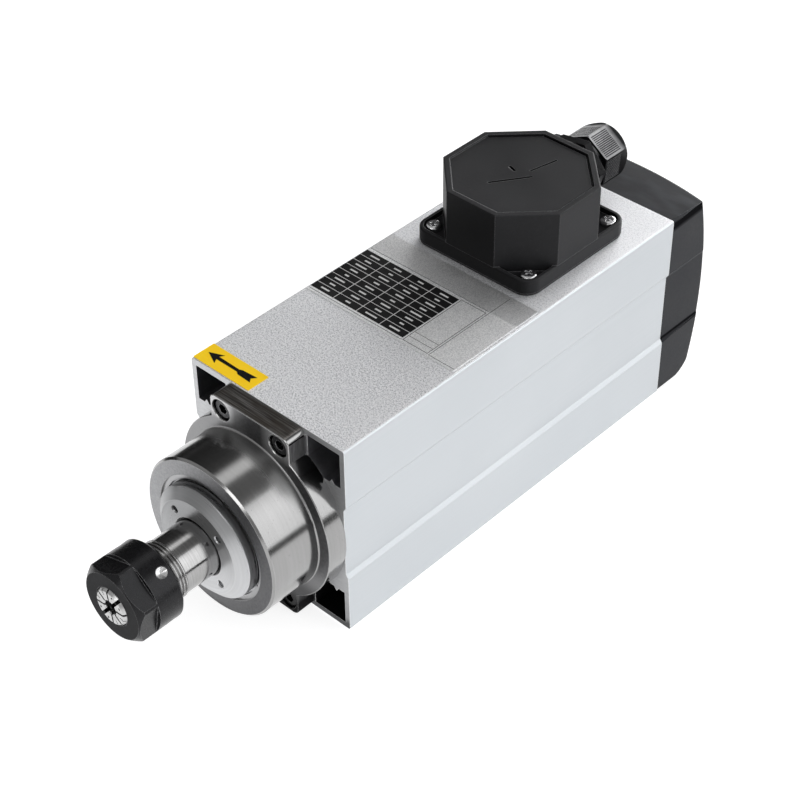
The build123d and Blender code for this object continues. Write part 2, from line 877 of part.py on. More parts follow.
with BuildPart() as cowl_screws:
    with BuildSketch(sec(cowl_seat)):
        with GridLocations(2 * screw_x, 2 * screw_z, 2, 2):
            Circle(3.5)
    extrude(amount=-4.0)
    chamfer(
        [e for e in cowl_screws.edges().filter_by(GeomType.CIRCLE) if abs(e.center().Y - fy(cowl_seat + 4.0)) < 0.01],
        0.35,
    )
    with BuildSketch(sec(cowl_seat)):
        with GridLocations(2 * screw_x, 2 * screw_z, 2, 2):
            Circle(1.95)
    extrude(amount=24.0)
    with BuildSketch(sec(cowl_seat + 4.0)):
        with GridLocations(2 * screw_x, 2 * screw_z, 2, 2):
            RegularPolygon(1.5, 6, major_radius=False)
    extrude(amount=2.2, mode=Mode.SUBTRACT)
report(cowl_screws.part, "rear_cowl_screws")

# ---------------------------------------------------------------------------
# Terminal box
# ---------------------------------------------------------------------------
box_y = fy((box_front + box_rear) / 2)
box_l = box_rear - box_front
tower_y = fy(box_mid)
box_screw_y = fy(147.2)
with BuildPart() as terminal_gasket:
    with BuildSketch(Plane.XY.offset(body_h)):
        with Locations((0, box_y)):
            RectangleRounded(box_w - 0.6, box_l - 0.6, 6.7)
        with Locations((0, tower_y)):
            RegularPolygon(box_af / 2 - 3.4, 8, major_radius=False, rotation=22.5, mode=Mode.SUBTRACT)
        with Locations((0, box_screw_y)):
            with GridLocations(51.2, 51.2, 2, 2):
                Circle(2.0, mode=Mode.SUBTRACT)
    extrude(amount=1.0)
report(terminal_gasket.part, "terminal_gasket")

with BuildPart() as terminal_cover:
    with BuildSketch(Plane.XY.offset(box_floor)) as cover_foot:
        with Locations((0, box_y)):
            RectangleRounded(box_w, box_l, 7.0)
    extrude(amount=box_rim - box_floor)
    fillet(terminal_cover.faces().sort_by(Axis.Z)[-1].edges(), 0.9)
    # sunk corners around the screws, the octagon's diagonal faces bound them
    with BuildSketch(Plane.XY.offset(box_pocket)):
        with Locations((0, box_y)):
            RectangleRounded(box_w - 3.4, box_l - 3.4, 5.3)
        with Locations((0, tower_y)):
            RegularPolygon(box_af / 2, 8, major_radius=False, rotation=22.5, mode=Mode.SUBTRACT)
        with Locations((0, tower_y)):
            Rectangle(70, 25.0, mode=Mode.SUBTRACT)
            Rectangle(25.0, 80, mode=Mode.SUBTRACT)
    extrude(amount=5.0, mode=Mode.SUBTRACT)
    with BuildSketch(Plane.XY.offset(box_floor)) as tower:
        with Locations((0, tower_y)):
            RegularPolygon(box_af / 2, 8, major_radius=False, rotation=22.5)
    extrude(amount=box_top - box_floor)
    top_face = terminal_cover.faces().sort_by(Axis.Z)[-1]
    fillet(top_face.edges(), 0.5)
    # sunk lid panel inside a raised rim
    with BuildSketch(Plane.XY.offset(box_top - 0.8)):
        with Locations((0, tower_y)):
            RegularPolygon(box_af / 2 - 2.6, 8, major_radius=False, rotation=22.5)
    extrude(amount=2.0, mode=Mode.SUBTRACT)
    # narrow gap between the panel and the rim on the rear sides
    with BuildSketch(Plane.XY.offset(box_top - 2.0)):
        with Locations((0, tower_y)):
            RegularPolygon(box_af / 2 - 2.6, 8, major_radius=False, rotation=22.5)
            RegularPolygon(box_af / 2 - 3.5, 8, major_radius=False, rotation=22.5, mode=Mode.SUBTRACT)
        with Locations((0, tower_y + (box_af / 2 - 2.6) * tan(radians(22.5)) + 20)):
            Rectangle(100, 40, mode=Mode.INTERSECT)
    extrude(amount=1.3, mode=Mode.SUBTRACT)
    # three plain grooves in the panel
    with BuildSketch(Plane.XY.offset(box_top - 1.5)):
        with Locations(Location((-0.4, fy(139.6)), 55.7)):
            SlotOverall(18.8, 0.9)
        with Locations(Location((3.0, fy(156.6)), 77.5)):
            SlotOverall(14.1, 0.7)
        with Locations(Location((-5.0, fy(146.3)), -17.9)):
            SlotOverall(4.3, 1.2)
    extrude(amount=2.0, mode=Mode.SUBTRACT)
    # hollow inside
    with BuildSketch(Plane.XY.offset(box_floor)):
        with Locations((0, tower_y)):
            RegularPolygon(box_af / 2 - 2.6, 8, major_radius=False, rotation=22.5)
    extrude(amount=box_top - box_floor - 3.6, mode=Mode.SUBTRACT)
    # screw holes and the gland hole
    with BuildSketch(Plane.XY.offset(box_floor)):
        with Locations((0, box_screw_y)):
            with GridLocations(51.2, 51.2, 2, 2):
                Circle(2.0)
    extrude(amount=8.0, mode=Mode.SUBTRACT)
    # thickened pad that carries the gland
    with BuildSketch(Plane(origin=(0, fy(174.0), gland_z), x_dir=(1, 0, 0), z_dir=(0, -1, 0))):
        Circle(12.2)
    extrude(amount=-5.2)
    with BuildSketch(Plane(origin=(0, fy(165.0), gland_z), x_dir=(1, 0, 0), z_dir=(0, -1, 0))):
        Circle(10.0)
    extrude(amount=-20.0, mode=Mode.SUBTRACT)
report(terminal_cover.part, "terminal_cover")

with BuildPart() as box_screws:
    with BuildSketch(Plane.XY.offset(box_pocket)):
        with Locations((0, box_screw_y)):
            with GridLocations(51.2, 51.2, 2, 2):
                Circle(3.5)
    extrude(amount=2.5)
    fillet(box_screws.faces().sort_by(Axis.Z)[-4:].edges(), 1.4)
    with BuildSketch(Plane.XY.offset(box_pocket)):
        with Locations((0, box_screw_y)):
            with GridLocations(51.2, 51.2, 2, 2):
                Circle(1.7)
    extrude(amount=-9.5)
    with BuildSketch(Plane.XY.offset(box_pocket + 1.2)):
        with Locations((0, box_screw_y)):
            with GridLocations(51.2, 51.2, 2, 2):
                Rectangle(3.6, 0.8)
                Rectangle(0.8, 3.6)
    extrude(amount=2.0, mode=Mode.SUBTRACT)
report(box_screws.part, "terminal_cover_screws")

# terminal block, studs, nuts and earth screw inside the box
block_y = fy(134.0)
with BuildPart() as terminal_block:
    with BuildSketch(Plane.XY.offset(body_h)):
        with Locations((0, block_y)):
            RectangleRounded(36, 17, 2.0)
    extrude(amount=8.0)
    with BuildSketch(Plane.XY.offset(body_h + 8)):
        with Locations((-5.5, block_y), (5.5, block_y)):
            Rectangle(1.6, 13.0)
    extrude(amount=5.0)
    with BuildSketch(Plane.XY.offset(body_h)):
        with Locations((-11, block_y), (0, block_y), (11, block_y)):
            Circle(2.0)
        with Locations((-14, fy(128)), (14, fy(128))):
            Circle(1.6)
    extrude(amount=14.0, mode=Mode.SUBTRACT)
report(terminal_block.part, "terminal_block")

with BuildPart() as terminal_studs:
    with BuildSketch(Plane.XY.offset(body_h + 0.5)):
        with Locations((-11, block_y), (0, block_y), (11, block_y)):
            Circle(2.0)
    extrude(amount=16.0)
report(terminal_studs.part, "terminal_studs")

with BuildPart() as terminal_nuts:
    with BuildSketch(Plane.XY.offset(body_h + 8)):
        with Locations((-11, block_y), (0, block_y), (11, block_y)):
            RegularPolygon(3.5, 6, major_radius=False)
            Circle(2.0, mode=Mode.SUBTRACT)
    extrude(amount=2.4)
report(terminal_nuts.part, "terminal_nuts")

with BuildPart() as block_screws:
    with BuildSketch(Plane.XY.offset(body_h + 8)):
        with Locations((-14, fy(128)), (14, fy(128))):
            Circle(2.2)
    extrude(amount=1.8)
    with BuildSketch(Plane.XY.offset(body_h + 8)):
        with Locations((-14, fy(128)), (14, fy(128))):
            Circle(1.45)
    extrude(amount=-13.0)
    with BuildSketch(Plane.XY.offset(body_h + 9)):
        with Locations((-14, fy(128)), (14, fy(128))):
            Rectangle(4.6, 0.7)
    extrude(amount=2.0, mode=Mode.SUBTRACT)
report(block_screws.part, "terminal_block_screws")

with BuildPart() as earth_screw:
    with BuildSketch(Plane.XY.offset(body_h)):
        with Locations((21, fy(152))):
            Circle(3.4)
    extrude(amount=2.6)
    fillet(earth_screw.faces().sort_by(Axis.Z)[-1].edges(), 0.8)
    with BuildSketch(Plane.XY.offset(body_h)):
        with Locations((21, fy(152))):
            Circle(1.45)
    extrude(amount=-5.5)
    with BuildSketch(Plane.XY.offset(body_h + 1.4)):
        with Locations((21, fy(152))):
            Rectangle(3.2, 0.7)
            Rectangle(0.7, 3.2)
    extrude(amount=2.0, mode=Mode.SUBTRACT)
report(earth_screw.part, "earth_screw")

# three leads from the windings' rear end turns up to the studs
lead_r = 1.1
lead_solids = []
with BuildPart() as motor_leads:
    for k, x_hole, x_stud in ((0, -3.2, -11.0), (1, 0.0, 0.0), (2, 3.2, 11.0)):
        z_top = body_h + 12.0
        bend = [] if x_stud == 0 else [(x_stud, fy(148.0), z_top)]
        with BuildLine() as lead_path:
            FilletPolyline(
                (x_hole, fy(153.0), axis_z + 29.0),
                (x_hole, fy(160.0), axis_z + 29.0),
                (x_hole, fy(160.0), z_top),
                *bend,
                (x_stud, fy(136.0), z_top),
                radius=3.2,
            )
        with BuildSketch(Plane(origin=(x_hole, fy(153.0), axis_z + 29.0), z_dir=(0, 1, 0))):
            Circle(lead_r)
        sweep(path=lead_path.line)
report(motor_leads.part, "motor_leads")

# ---------------------------------------------------------------------------
# Cable gland out of the box's rear wall
# ---------------------------------------------------------------------------
def gsec(a):
    """Cross-section plane of the gland at axial distance a."""
    return Plane(origin=(0, fy(a), gland_z), x_dir=(1, 0, 0), z_dir=(0, -1, 0))


gturn = Plane(origin=(0, front_y, gland_z), x_dir=(0, 1, 0), z_dir=(1, 0, 0))
gspin = Axis((0, front_y, gland_z), (0, 1, 0))

with BuildPart() as gland_washer:
    with BuildSketch(gsec(179.2)):
        Circle(12.6)
        Circle(10.0, mode=Mode.SUBTRACT)
    extrude(amount=-1.2)
report(gland_washer.part, "gland_washer")

with BuildPart() as gland_body:
    with BuildSketch(gturn):
        with BuildLine():
            Polyline(
                (166.5, 6.8),
                (166.5, 9.4),
                (167.1, 9.95),
                (184.2, 9.95),
                (184.2, 9.9),
                (197.3, 9.9),
                (197.3, 8.0),
                (191.5, 8.0),
                (191.5, 6.8),
                (166.5, 6.8),
            )
        make_face()
    revolve(axis=gspin)
    with BuildSketch(gsec(180.4)):
        RegularPolygon(12.6, 6, major_radius=False, rotation=10)
        Circle(9.0, mode=Mode.SUBTRACT)
    extrude(amount=-3.8)
    fillet(
        gland_body.edges().filter_by(Axis.Y),
        0.8,
    )
report(gland_body.part, "gland_body")

with BuildPart() as gland_locknut:
    with BuildSketch(gsec(174.0)):
        RegularPolygon(11.0, 6, major_radius=False)
        Circle(11.3, mode=Mode.INTERSECT)
        Circle(10.0, mode=Mode.SUBTRACT)
    extrude(amount=4.5)
report(gland_locknut.part, "gland_locknut")

with BuildPart() as gland_seal:
    with BuildSketch(gturn):
        with BuildLine():
            Polyline(
                (191.5, 5.0),
                (191.5, 7.9),
                (197.1, 7.9),
                (199.1, 6.7),
                (199.9, 5.0),
                (191.5, 5.0),
            )
        make_face()
    revolve(axis=gspin)
report(gland_seal.part, "gland_seal")

with BuildPart() as gland_nut:
    with BuildSketch(gturn):
        with BuildLine():
            Polyline(
                (199.0, 12.9),
                (188.2, 12.9),
                (187.7, 12.4),
                (187.7, 10.1),
                (198.6, 10.1),
                (202.6, 6.4),
                (204.0, 6.4),
                (204.0, 9.6),
            )
            ThreePointArc((204.0, 9.6), (202.3, 11.7), (199.0, 12.9))
        make_face()
    revolve(axis=gspin)
    # hexagonal outside with fine grip ribs on its flats
    with BuildSketch(gsec(186.0)):
        Circle(20)
        RegularPolygon(11.15, 6, major_radius=False, rotation=25, mode=Mode.SUBTRACT)
    extrude(amount=-20.0, mode=Mode.SUBTRACT)
    with BuildSketch(gsec(188.6)):
        for face in range(6):
            a_mid = 55 + 60 * face
            for k in range(-6, 7):
                off = k * 0.86
                px = 11.15 * cos(radians(a_mid)) - off * sin(radians(a_mid))
                pz = 11.15 * sin(radians(a_mid)) + off * cos(radians(a_mid))
                with Locations(Location((px, pz), a_mid)):
                    Rectangle(0.5, 0.42)
    extrude(amount=-9.6, mode=Mode.SUBTRACT)
report(gland_nut.part, "gland_nut")

# ---------------------------------------------------------------------------
# Labels: two thin films on the top face
# ---------------------------------------------------------------------------
film_t = 0.2
with BuildPart() as arrow_label:
    with BuildSketch(Plane.XY.offset(body_h)):
        with Locations((-25.45, fy(6.2))):
            RectangleRounded(30.6, 10.8, 0.4)
    extrude(amount=film_t)
report(arrow_label.part, "arrow_label")

with BuildPart() as data_plate:
    with BuildSketch(Plane.XY.offset(body_h)):
        with Locations((-0.4, fy(86.4))):
            RectangleRounded(79.0, 50.6, 0.8)
    extrude(amount=film_t)
report(data_plate.part, "data_plate")
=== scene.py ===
import json
import math

import bmesh
import bpy
from mathutils import Matrix, Vector


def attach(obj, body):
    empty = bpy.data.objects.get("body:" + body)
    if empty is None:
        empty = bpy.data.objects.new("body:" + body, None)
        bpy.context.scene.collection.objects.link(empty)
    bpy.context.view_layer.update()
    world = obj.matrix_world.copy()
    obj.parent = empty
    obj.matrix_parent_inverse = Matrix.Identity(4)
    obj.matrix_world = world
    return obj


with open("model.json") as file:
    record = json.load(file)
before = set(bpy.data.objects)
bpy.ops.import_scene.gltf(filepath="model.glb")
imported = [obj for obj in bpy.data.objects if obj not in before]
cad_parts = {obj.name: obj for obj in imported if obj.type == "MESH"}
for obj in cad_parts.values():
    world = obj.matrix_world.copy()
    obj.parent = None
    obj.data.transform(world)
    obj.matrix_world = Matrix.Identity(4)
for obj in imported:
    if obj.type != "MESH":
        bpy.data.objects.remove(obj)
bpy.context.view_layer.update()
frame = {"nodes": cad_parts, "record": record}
nodes = frame["nodes"]

AXIS_Z = 0.0465          # height of the spindle axis
FRONT_Y = -0.0745        # Y of the body's front end face
scene = bpy.context.scene


def fy(a):
    """Row Y, in metres, of a distance in millimetres behind the body's front face."""
    return FRONT_Y + a / 1000.0


# ---------------------------------------------------------------------------
# Node helpers
# ---------------------------------------------------------------------------
class Shader:
    """A material with one Principled shader and short calls that add nodes to it."""

    def __init__(self, name, **sockets):
        self.mat = bpy.data.materials.new(name)
        self.mat.use_nodes = True
        self.tree = self.mat.node_tree
        self.tree.nodes.clear()
        self.out = self.tree.nodes.new("ShaderNodeOutputMaterial")
        self.bsdf = self.tree.nodes.new("ShaderNodeBsdfPrincipled")
        self.tree.links.new(self.bsdf.outputs[0], self.out.inputs[0])
        self._coord = None
        self.set(**sockets)

    def set(self, **sockets):
        for key, value in sockets.items():
            name = key.replace("_", " ")
            self.bsdf.inputs[name].default_value = value

    def put(self, value, socket):
        if isinstance(value, bpy.types.NodeSocket):
            self.tree.links.new(value, socket)
        else:
            socket.default_value = value

    def wire(self, value, name):
        self.tree.links.new(value, self.bsdf.inputs[name])

    def math(self, op, a, b=None, c=None, clamp=False):
        n = self.tree.nodes.new("ShaderNodeMath")
        n.operation = op
        n.use_clamp = clamp
        self.put(a, n.inputs[0])
        if b is not None:
            self.put(b, n.inputs[1])
        if c is not None:
            self.put(c, n.inputs[2])
        return n.outputs[0]

    def coords(self):
        """x, y, z of the piece's own frame, in metres."""
        if self._coord is None:
            tc = self.tree.nodes.new("ShaderNodeTexCoord")
            sep = self.tree.nodes.new("ShaderNodeSeparateXYZ")
            self.tree.links.new(tc.outputs["Object"], sep.inputs[0])
            self._coord = (tc.outputs["Object"], *sep.outputs)
        return self._coord

    def vec(self, x, y, z):
        n = self.tree.nodes.new("ShaderNodeCombineXYZ")
        for v, s in zip((x, y, z), n.inputs):
            self.put(v, s)
        return n.outputs[0]

    def turned(self, k_r=1.0, k_y=1.0, k_t=0.0, centre_z=AXIS_Z):
        """Coordinates that follow the marks a lathe leaves: they change with radius and along the axis."""
        _, x, y, z = self.coords()
        zz = self.math("SUBTRACT", z, centre_z)
        r = self.math("SQRT", self.math("ADD", self.math("MULTIPLY", x, x), self.math("MULTIPLY", zz, zz)))
        t = self.math("ARCTAN2", zz, x)
        return (
            self.vec(self.math("MULTIPLY", r, k_r), self.math("MULTIPLY", y, k_y), self.math("MULTIPLY", t, k_t)),
            r,
            y,
            t,
        )

    def noise(self, vector, scale=1.0, detail=2.0, rough=0.5, distortion=0.0):
        n = self.tree.nodes.new("ShaderNodeTexNoise")
        self.put(vector, n.inputs["Vector"])
        n.inputs["Scale"].default_value = scale
        n.inputs["Detail"].default_value = detail
        n.inputs["Roughness"].default_value = rough
        n.inputs["Distortion"].default_value = distortion
        return n.outputs["Fac"]

    def voronoi(self, vector, scale=1.0, feature="F1", out="Distance"):
        n = self.tree.nodes.new("ShaderNodeTexVoronoi")
        n.feature = feature
        self.put(vector, n.inputs["Vector"])
        n.inputs["Scale"].default_value = scale
        return n.outputs[out]

    def fit(self, value, a, b, c=0.0, d=1.0, smooth=False):
        n = self.tree.nodes.new("ShaderNodeMapRange")
        n.interpolation_type = "SMOOTHSTEP" if smooth else "LINEAR"
        n.clamp = True
        self.put(value, n.inputs["Value"])
        for v, k in zip((a, b, c, d), ("From Min", "From Max", "To Min", "To Max")):
            self.put(v, n.inputs[k])
        return n.outputs["Result"]

    def mix(self, fac, a, b, blend="MIX"):
        n = self.tree.nodes.new("ShaderNodeMix")
        n.data_type = "RGBA"
        n.blend_type = blend
        self.put(fac, n.inputs[0])
        for v, s in ((a, n.inputs[6]), (b, n.inputs[7])):
            if isinstance(v, (tuple, list)):
                s.default_value = (*v[:3], 1.0)
            elif isinstance(v, float):
                s.default_value = (v, v, v, 1.0)
            else:
                self.tree.links.new(v, s)
        return n.outputs[2]

    def mixf(self, fac, a, b):
        n = self.tree.nodes.new("ShaderNodeMix")
        n.data_type = "FLOAT"
        self.put(fac, n.inputs[0])
        self.put(a, n.inputs[2])
        self.put(b, n.inputs[3])
        return n.outputs[0]

    def ramp(self, fac, stops, interpolation="LINEAR"):
        n = self.tree.nodes.new("ShaderNodeValToRGB")
        n.color_ramp.interpolation = interpolation
        el = n.color_ramp.elements
        while len(el) < len(stops):
            el.new(0.5)
        for e, (p, c) in zip(el, stops):
            e.position = p
            e.color = (*c[:3], 1.0) if isinstance(c, (tuple, list)) else (c, c, c, 1.0)
        self.put(fac, n.inputs[0])
        return n.outputs[0]

    def normal(self):
        """World normal of the surface, split."""
        g = self.tree.nodes.new("ShaderNodeNewGeometry")
        sep = self.tree.nodes.new("ShaderNodeSeparateXYZ")
        self.tree.links.new(g.outputs["Normal"], sep.inputs[0])
        return sep.outputs

    def edges(self, radius, gain=1.0):
        """1 along convex and concave edges, 0 on flats."""
        bev = self.tree.nodes.new("ShaderNodeBevel")
        bev.samples = 4
        bev.inputs["Radius"].default_value = radius
        g = self.tree.nodes.new("ShaderNodeNewGeometry")
        dot = self.tree.nodes.new("ShaderNodeVectorMath")
        dot.operation = "DOT_PRODUCT"
        self.tree.links.new(bev.outputs[0], dot.inputs[0])
        self.tree.links.new(g.outputs["Normal"], dot.inputs[1])
        return self.fit(dot.outputs["Value"], 1.0 - 0.02 / gain, 1.0 - 0.25 / gain, 0.0, 1.0)

    def bump(self, height, strength, distance, bevel=None, normal=None):
        n = self.tree.nodes.new("ShaderNodeBump")
        n.inputs["Strength"].default_value = strength
        n.inputs["Distance"].default_value = distance
        self.tree.links.new(height, n.inputs["Height"])
        if bevel:
            b = self.tree.nodes.new("ShaderNodeBevel")
            b.samples = 4
            b.inputs["Radius"].default_value = bevel
            self.tree.links.new(b.outputs[0], n.inputs["Normal"])
        elif normal is not None:
            self.tree.links.new(normal, n.inputs["Normal"])
        return n.outputs[0]

    def finish_normal(self, normal):
        self.wire(normal, "Normal")

    def radial_tangent(self):
        t = self.tree.nodes.new("ShaderNodeTangent")
        t.direction_type = "RADIAL"
        t.axis = "Y"
        self.wire(t.outputs[0], "Tangent")


def band(s, value, low, high, soft):
    """1 where low < value < high, with soft edges."""
    up = s.fit(value, low - soft, low + soft)
    down = s.fit(value, high - soft, high + soft, 1.0, 0.0)
    return s.math("MULTIPLY", up, down)


# ---------------------------------------------------------------------------
# Materials
# ---------------------------------------------------------------------------
def extruded_aluminium():
    s = Shader("extruded_aluminium", Metallic=1.0)
    obj, x, y, z = s.coords()
    nx, ny, nz = s.normal()
    top = s.fit(nz, 0.80, 0.98)
    front = s.fit(s.math("MULTIPLY", ny, -1.0), 0.6, 0.9)
    rear = s.fit(ny, 0.6, 0.9)
    ends = s.math("ADD", front, rear, clamp=True)
    # blasted grain: two sizes of speckle and slow drifts
    fine = s.noise(obj, 2300.0, 2.0, 0.6)
    grain = s.noise(obj, 1150.0, 1.0, 0.5)
    drift = s.noise(obj, 22.0, 3.0, 0.55)
    speck = s.math("ADD", s.math("MULTIPLY", fine, 0.65), s.math("MULTIPLY", grain, 0.35))
    speck_f = s.math("SUBTRACT", s.fit(speck, 0.38, 0.62), 0.5)
    speck_f = s.math("ADD", s.math("MULTIPLY", speck_f, s.fit(y, fy(40), fy(150), 1.0, 0.45)), 0.5)
    blast_col = s.ramp(speck_f, [(0.0, (0.47, 0.475, 0.495)), (0.5, (0.89, 0.895, 0.915)), (1.0, (1.0, 1.0, 1.0))])
    blast_col = s.mix(s.fit(drift, 0.35, 0.65, 0.0, 0.12), blast_col, (0.92, 0.925, 0.94))
    # painted shade: the blasted top is darkened towards the front end and left lighter towards the rear
    blast_col = s.mix(s.fit(y, fy(30), fy(135), 0.12, 0.0), blast_col, (0.30, 0.302, 0.31))
    # drawn side faces: faint die lines along the length
    lines = s.noise(s.vec(0.0, s.math("MULTIPLY", y, 6.0), s.math("MULTIPLY", z, 1400.0)), 1.0, 3.0, 0.6)
    side_drift = s.noise(obj, 14.0, 2.0, 0.5)
    side_col = s.mix(s.fit(lines, 0.3, 0.7), (0.535, 0.560, 0.580), (0.555, 0.577, 0.597))
    side_col = s.mix(s.fit(side_drift, 0.3, 0.7, 0.0, 0.25), side_col, (0.515, 0.542, 0.565))
    # sawn end faces
    saw = s.noise(s.vec(s.math("MULTIPLY", x, 260.0), 0.0, s.math("MULTIPLY", z, 2600.0)), 1.0, 2.0, 0.6)
    saw_col = s.mix(s.fit(saw, 0.3, 0.7), (0.46, 0.465, 0.475), (0.60, 0.605, 0.615))
    # painted shade: the sawn end face darkens towards its bottom and is nearly black in its lowest few millimetres
    saw_col = s.mix(s.fit(z, 0.004, 0.045, 0.55, 0.0), saw_col, (0.10, 0.10, 0.104))
    saw_col = s.mix(s.fit(z, 0.003, 0.006, 0.85, 0.0), saw_col, (0.03, 0.03, 0.032))
    col = s.mix(top, side_col, blast_col)
    col = s.mix(ends, col, saw_col)
    # the ducts' walls inside are rougher and carry painted shade: dark grey, near-black towards the bottom
    ax = s.math("ABSOLUTE", x)
    az = s.math("ABSOLUTE", s.math("SUBTRACT", z, AXIS_Z))
    inside = s.math("MULTIPLY", s.fit(ax, 0.0389, 0.0391, 1.0, 0.0), s.fit(az, 0.0443, 0.0445, 1.0, 0.0))
    inside = s.math("MULTIPLY", inside, s.math("SUBTRACT", 1.0, ends))
    duct_shade_noise = s.noise(obj, 160.0, 3.0, 0.6)
    duct_shade_col = s.mix(duct_shade_noise, (0.09, 0.09, 0.10), (0.24, 0.24, 0.255))
    duct_shade_col = s.mix(s.fit(z, 0.020, 0.060, 0.88, 0.0), duct_shade_col, (0.006, 0.006, 0.007))
    col = s.mix(inside, col, duct_shade_col)
    # painted highlight: a near-white line along the body's edges
    edge = s.edges(0.0005)
    col = s.mix(s.math("MULTIPLY", edge, s.math("SUBTRACT", 1.0, inside)), col, (0.95, 0.955, 0.96))
    s.wire(col, "Base Color")
    rough = s.mixf(top, s.fit(side_drift, 0.3, 0.7, 0.36, 0.46), s.fit(speck, 0.3, 0.7, 0.60, 0.74))
    rough = s.mixf(ends, rough, 0.42)
    rough = s.mixf(inside, rough, 0.6)
    s.wire(rough, "Roughness")
    height = s.mixf(top, s.math("MULTIPLY", lines, 0.06), speck)
    s.finish_normal(s.bump(height, 0.55, 0.00022, bevel=0.0004))
    return s.mat


def data_film():
    """Printed film: a black table on the left of a clear silver film."""
    s = Shader("data_film", Coat_Weight=0.05, Coat_Roughness=0.2, Specular_IOR_Level=0.2)
    obj, x, y, z = s.coords()
    table = s.math("MULTIPLY", band(s, x, -0.0500, 0.0108, 0.00004), band(s, y, fy(63.6), fy(96.7), 0.00004))
    fine = s.noise(obj, 2300.0, 2.0, 0.6)
    silver = s.ramp(s.fit(fine, 0.36, 0.64), [(0.0, (0.70, 0.705, 0.715)), (1.0, (1.0, 1.0, 1.0))])
    drift = s.noise(obj, 60.0, 3.0, 0.6)
    black = s.mix(s.fit(drift, 0.3, 0.7), (0.003, 0.003, 0.0035), (0.007, 0.007, 0.0075))
    s.wire(s.mix(table, silver, black), "Base Color")
    s.wire(s.mixf(table, 0.85, 0.0), "Metallic")
    header = s.fit(y, fy(98.2), fy(98.8))
    film_rough = s.mixf(header, s.fit(fine, 0.3, 0.7, 0.52, 0.64), s.fit(drift, 0.3, 0.7, 0.42, 0.50))
    s.wire(s.mixf(table, film_rough, s.fit(drift, 0.3, 0.7, 0.38, 0.5)), "Roughness")
    s.finish_normal(s.bump(fine, 0.12, 0.0001))
    return s.mat


def label_yellow():
    s = Shader("label_yellow", Specular_IOR_Level=0.15)
    obj, x, y, z = s.coords()
    drift = s.noise(obj, 90.0, 3.0, 0.6)
    s.wire(s.mix(s.fit(drift, 0.3, 0.7), (1.0, 0.620, 0.012), (1.0, 0.675, 0.018)), "Base Color")
    s.wire(s.fit(drift, 0.3, 0.7, 0.42, 0.55), "Roughness")
    s.finish_normal(s.bump(s.noise(obj, 700.0, 2.0), 0.08, 0.0001))
    return s.mat


def ink(name, low, high):
    s = Shader(name, Specular_IOR_Level=0.03)
    obj, x, y, z = s.coords()
    n = s.noise(obj, 900.0, 3.0, 0.6)
    s.wire(s.mix(s.fit(n, 0.3, 0.7), low, high), "Base Color")
    s.wire(s.fit(n, 0.3, 0.7, 0.42, 0.56), "Roughness")
    s.finish_normal(s.bump(n, 0.06, 0.00005))
    return s.mat


def turned_metal(name, dark, light, rough=(0.2, 0.32), aniso=0.55, marks=1400.0, strength=0.10,
                 centre_z=AXIS_Z, bevel=0.0003, edge=(0.9, 0.9, 0.9), edge_amount=0.5, stain=None, spots=0.0, sectors=None):
    s = Shader(name, Metallic=1.0, Anisotropic=aniso)
    obj, x, y, z = s.coords()
    v, r, yy, t = s.turned(marks, marks, 0.25, centre_z)
    v2, *_ = s.turned(marks * 0.22, marks * 0.22, 0.6, centre_z)
    line = s.noise(v, 1.0, 2.0, 0.55)
    broad = s.noise(v2, 1.0, 2.0, 0.5)
    mixl = s.math("ADD", s.math("MULTIPLY", line, 0.6), s.math("MULTIPLY", broad, 0.4))
    col = s.mix(s.fit(mixl, 0.32, 0.68), dark, light)
    smear = s.noise(obj, 70.0, 3.0, 0.6)
    if stain is not None:
        col = s.mix(s.fit(smear, 0.5, 0.72, 0.0, 0.35), col, stain)
    if spots:
        pit = s.noise(obj, 1700.0, 2.0, 0.6)
        col = s.mix(s.fit(pit, 0.66, 0.72, 0.0, spots), col, tuple(c * 0.35 for c in dark))
    if sectors:
        # painted shade: the turned face is darkened on the side facing away from the angle sectors[0]
        swing = s.math("COSINE", s.math("SUBTRACT", t, math.radians(sectors[0])))
        col = s.mix(s.fit(swing, -1.0, 1.0, sectors[1], 0.0), col, (0.0, 0.0, 0.0))
    if edge_amount:
        # painted highlight: a light line along the edges
        col = s.mix(s.math("MULTIPLY", s.edges(bevel * 1.4), edge_amount), col, edge)
    s.wire(col, "Base Color")
    rr = s.math("ADD", s.fit(mixl, 0.3, 0.7, rough[0], rough[1]), s.fit(smear, 0.3, 0.7, -0.02, 0.05))
    s.wire(rr, "Roughness")
    s.radial_tangent()
    s.finish_normal(s.bump(mixl, strength, 0.00006, bevel=bevel))
    return s.mat


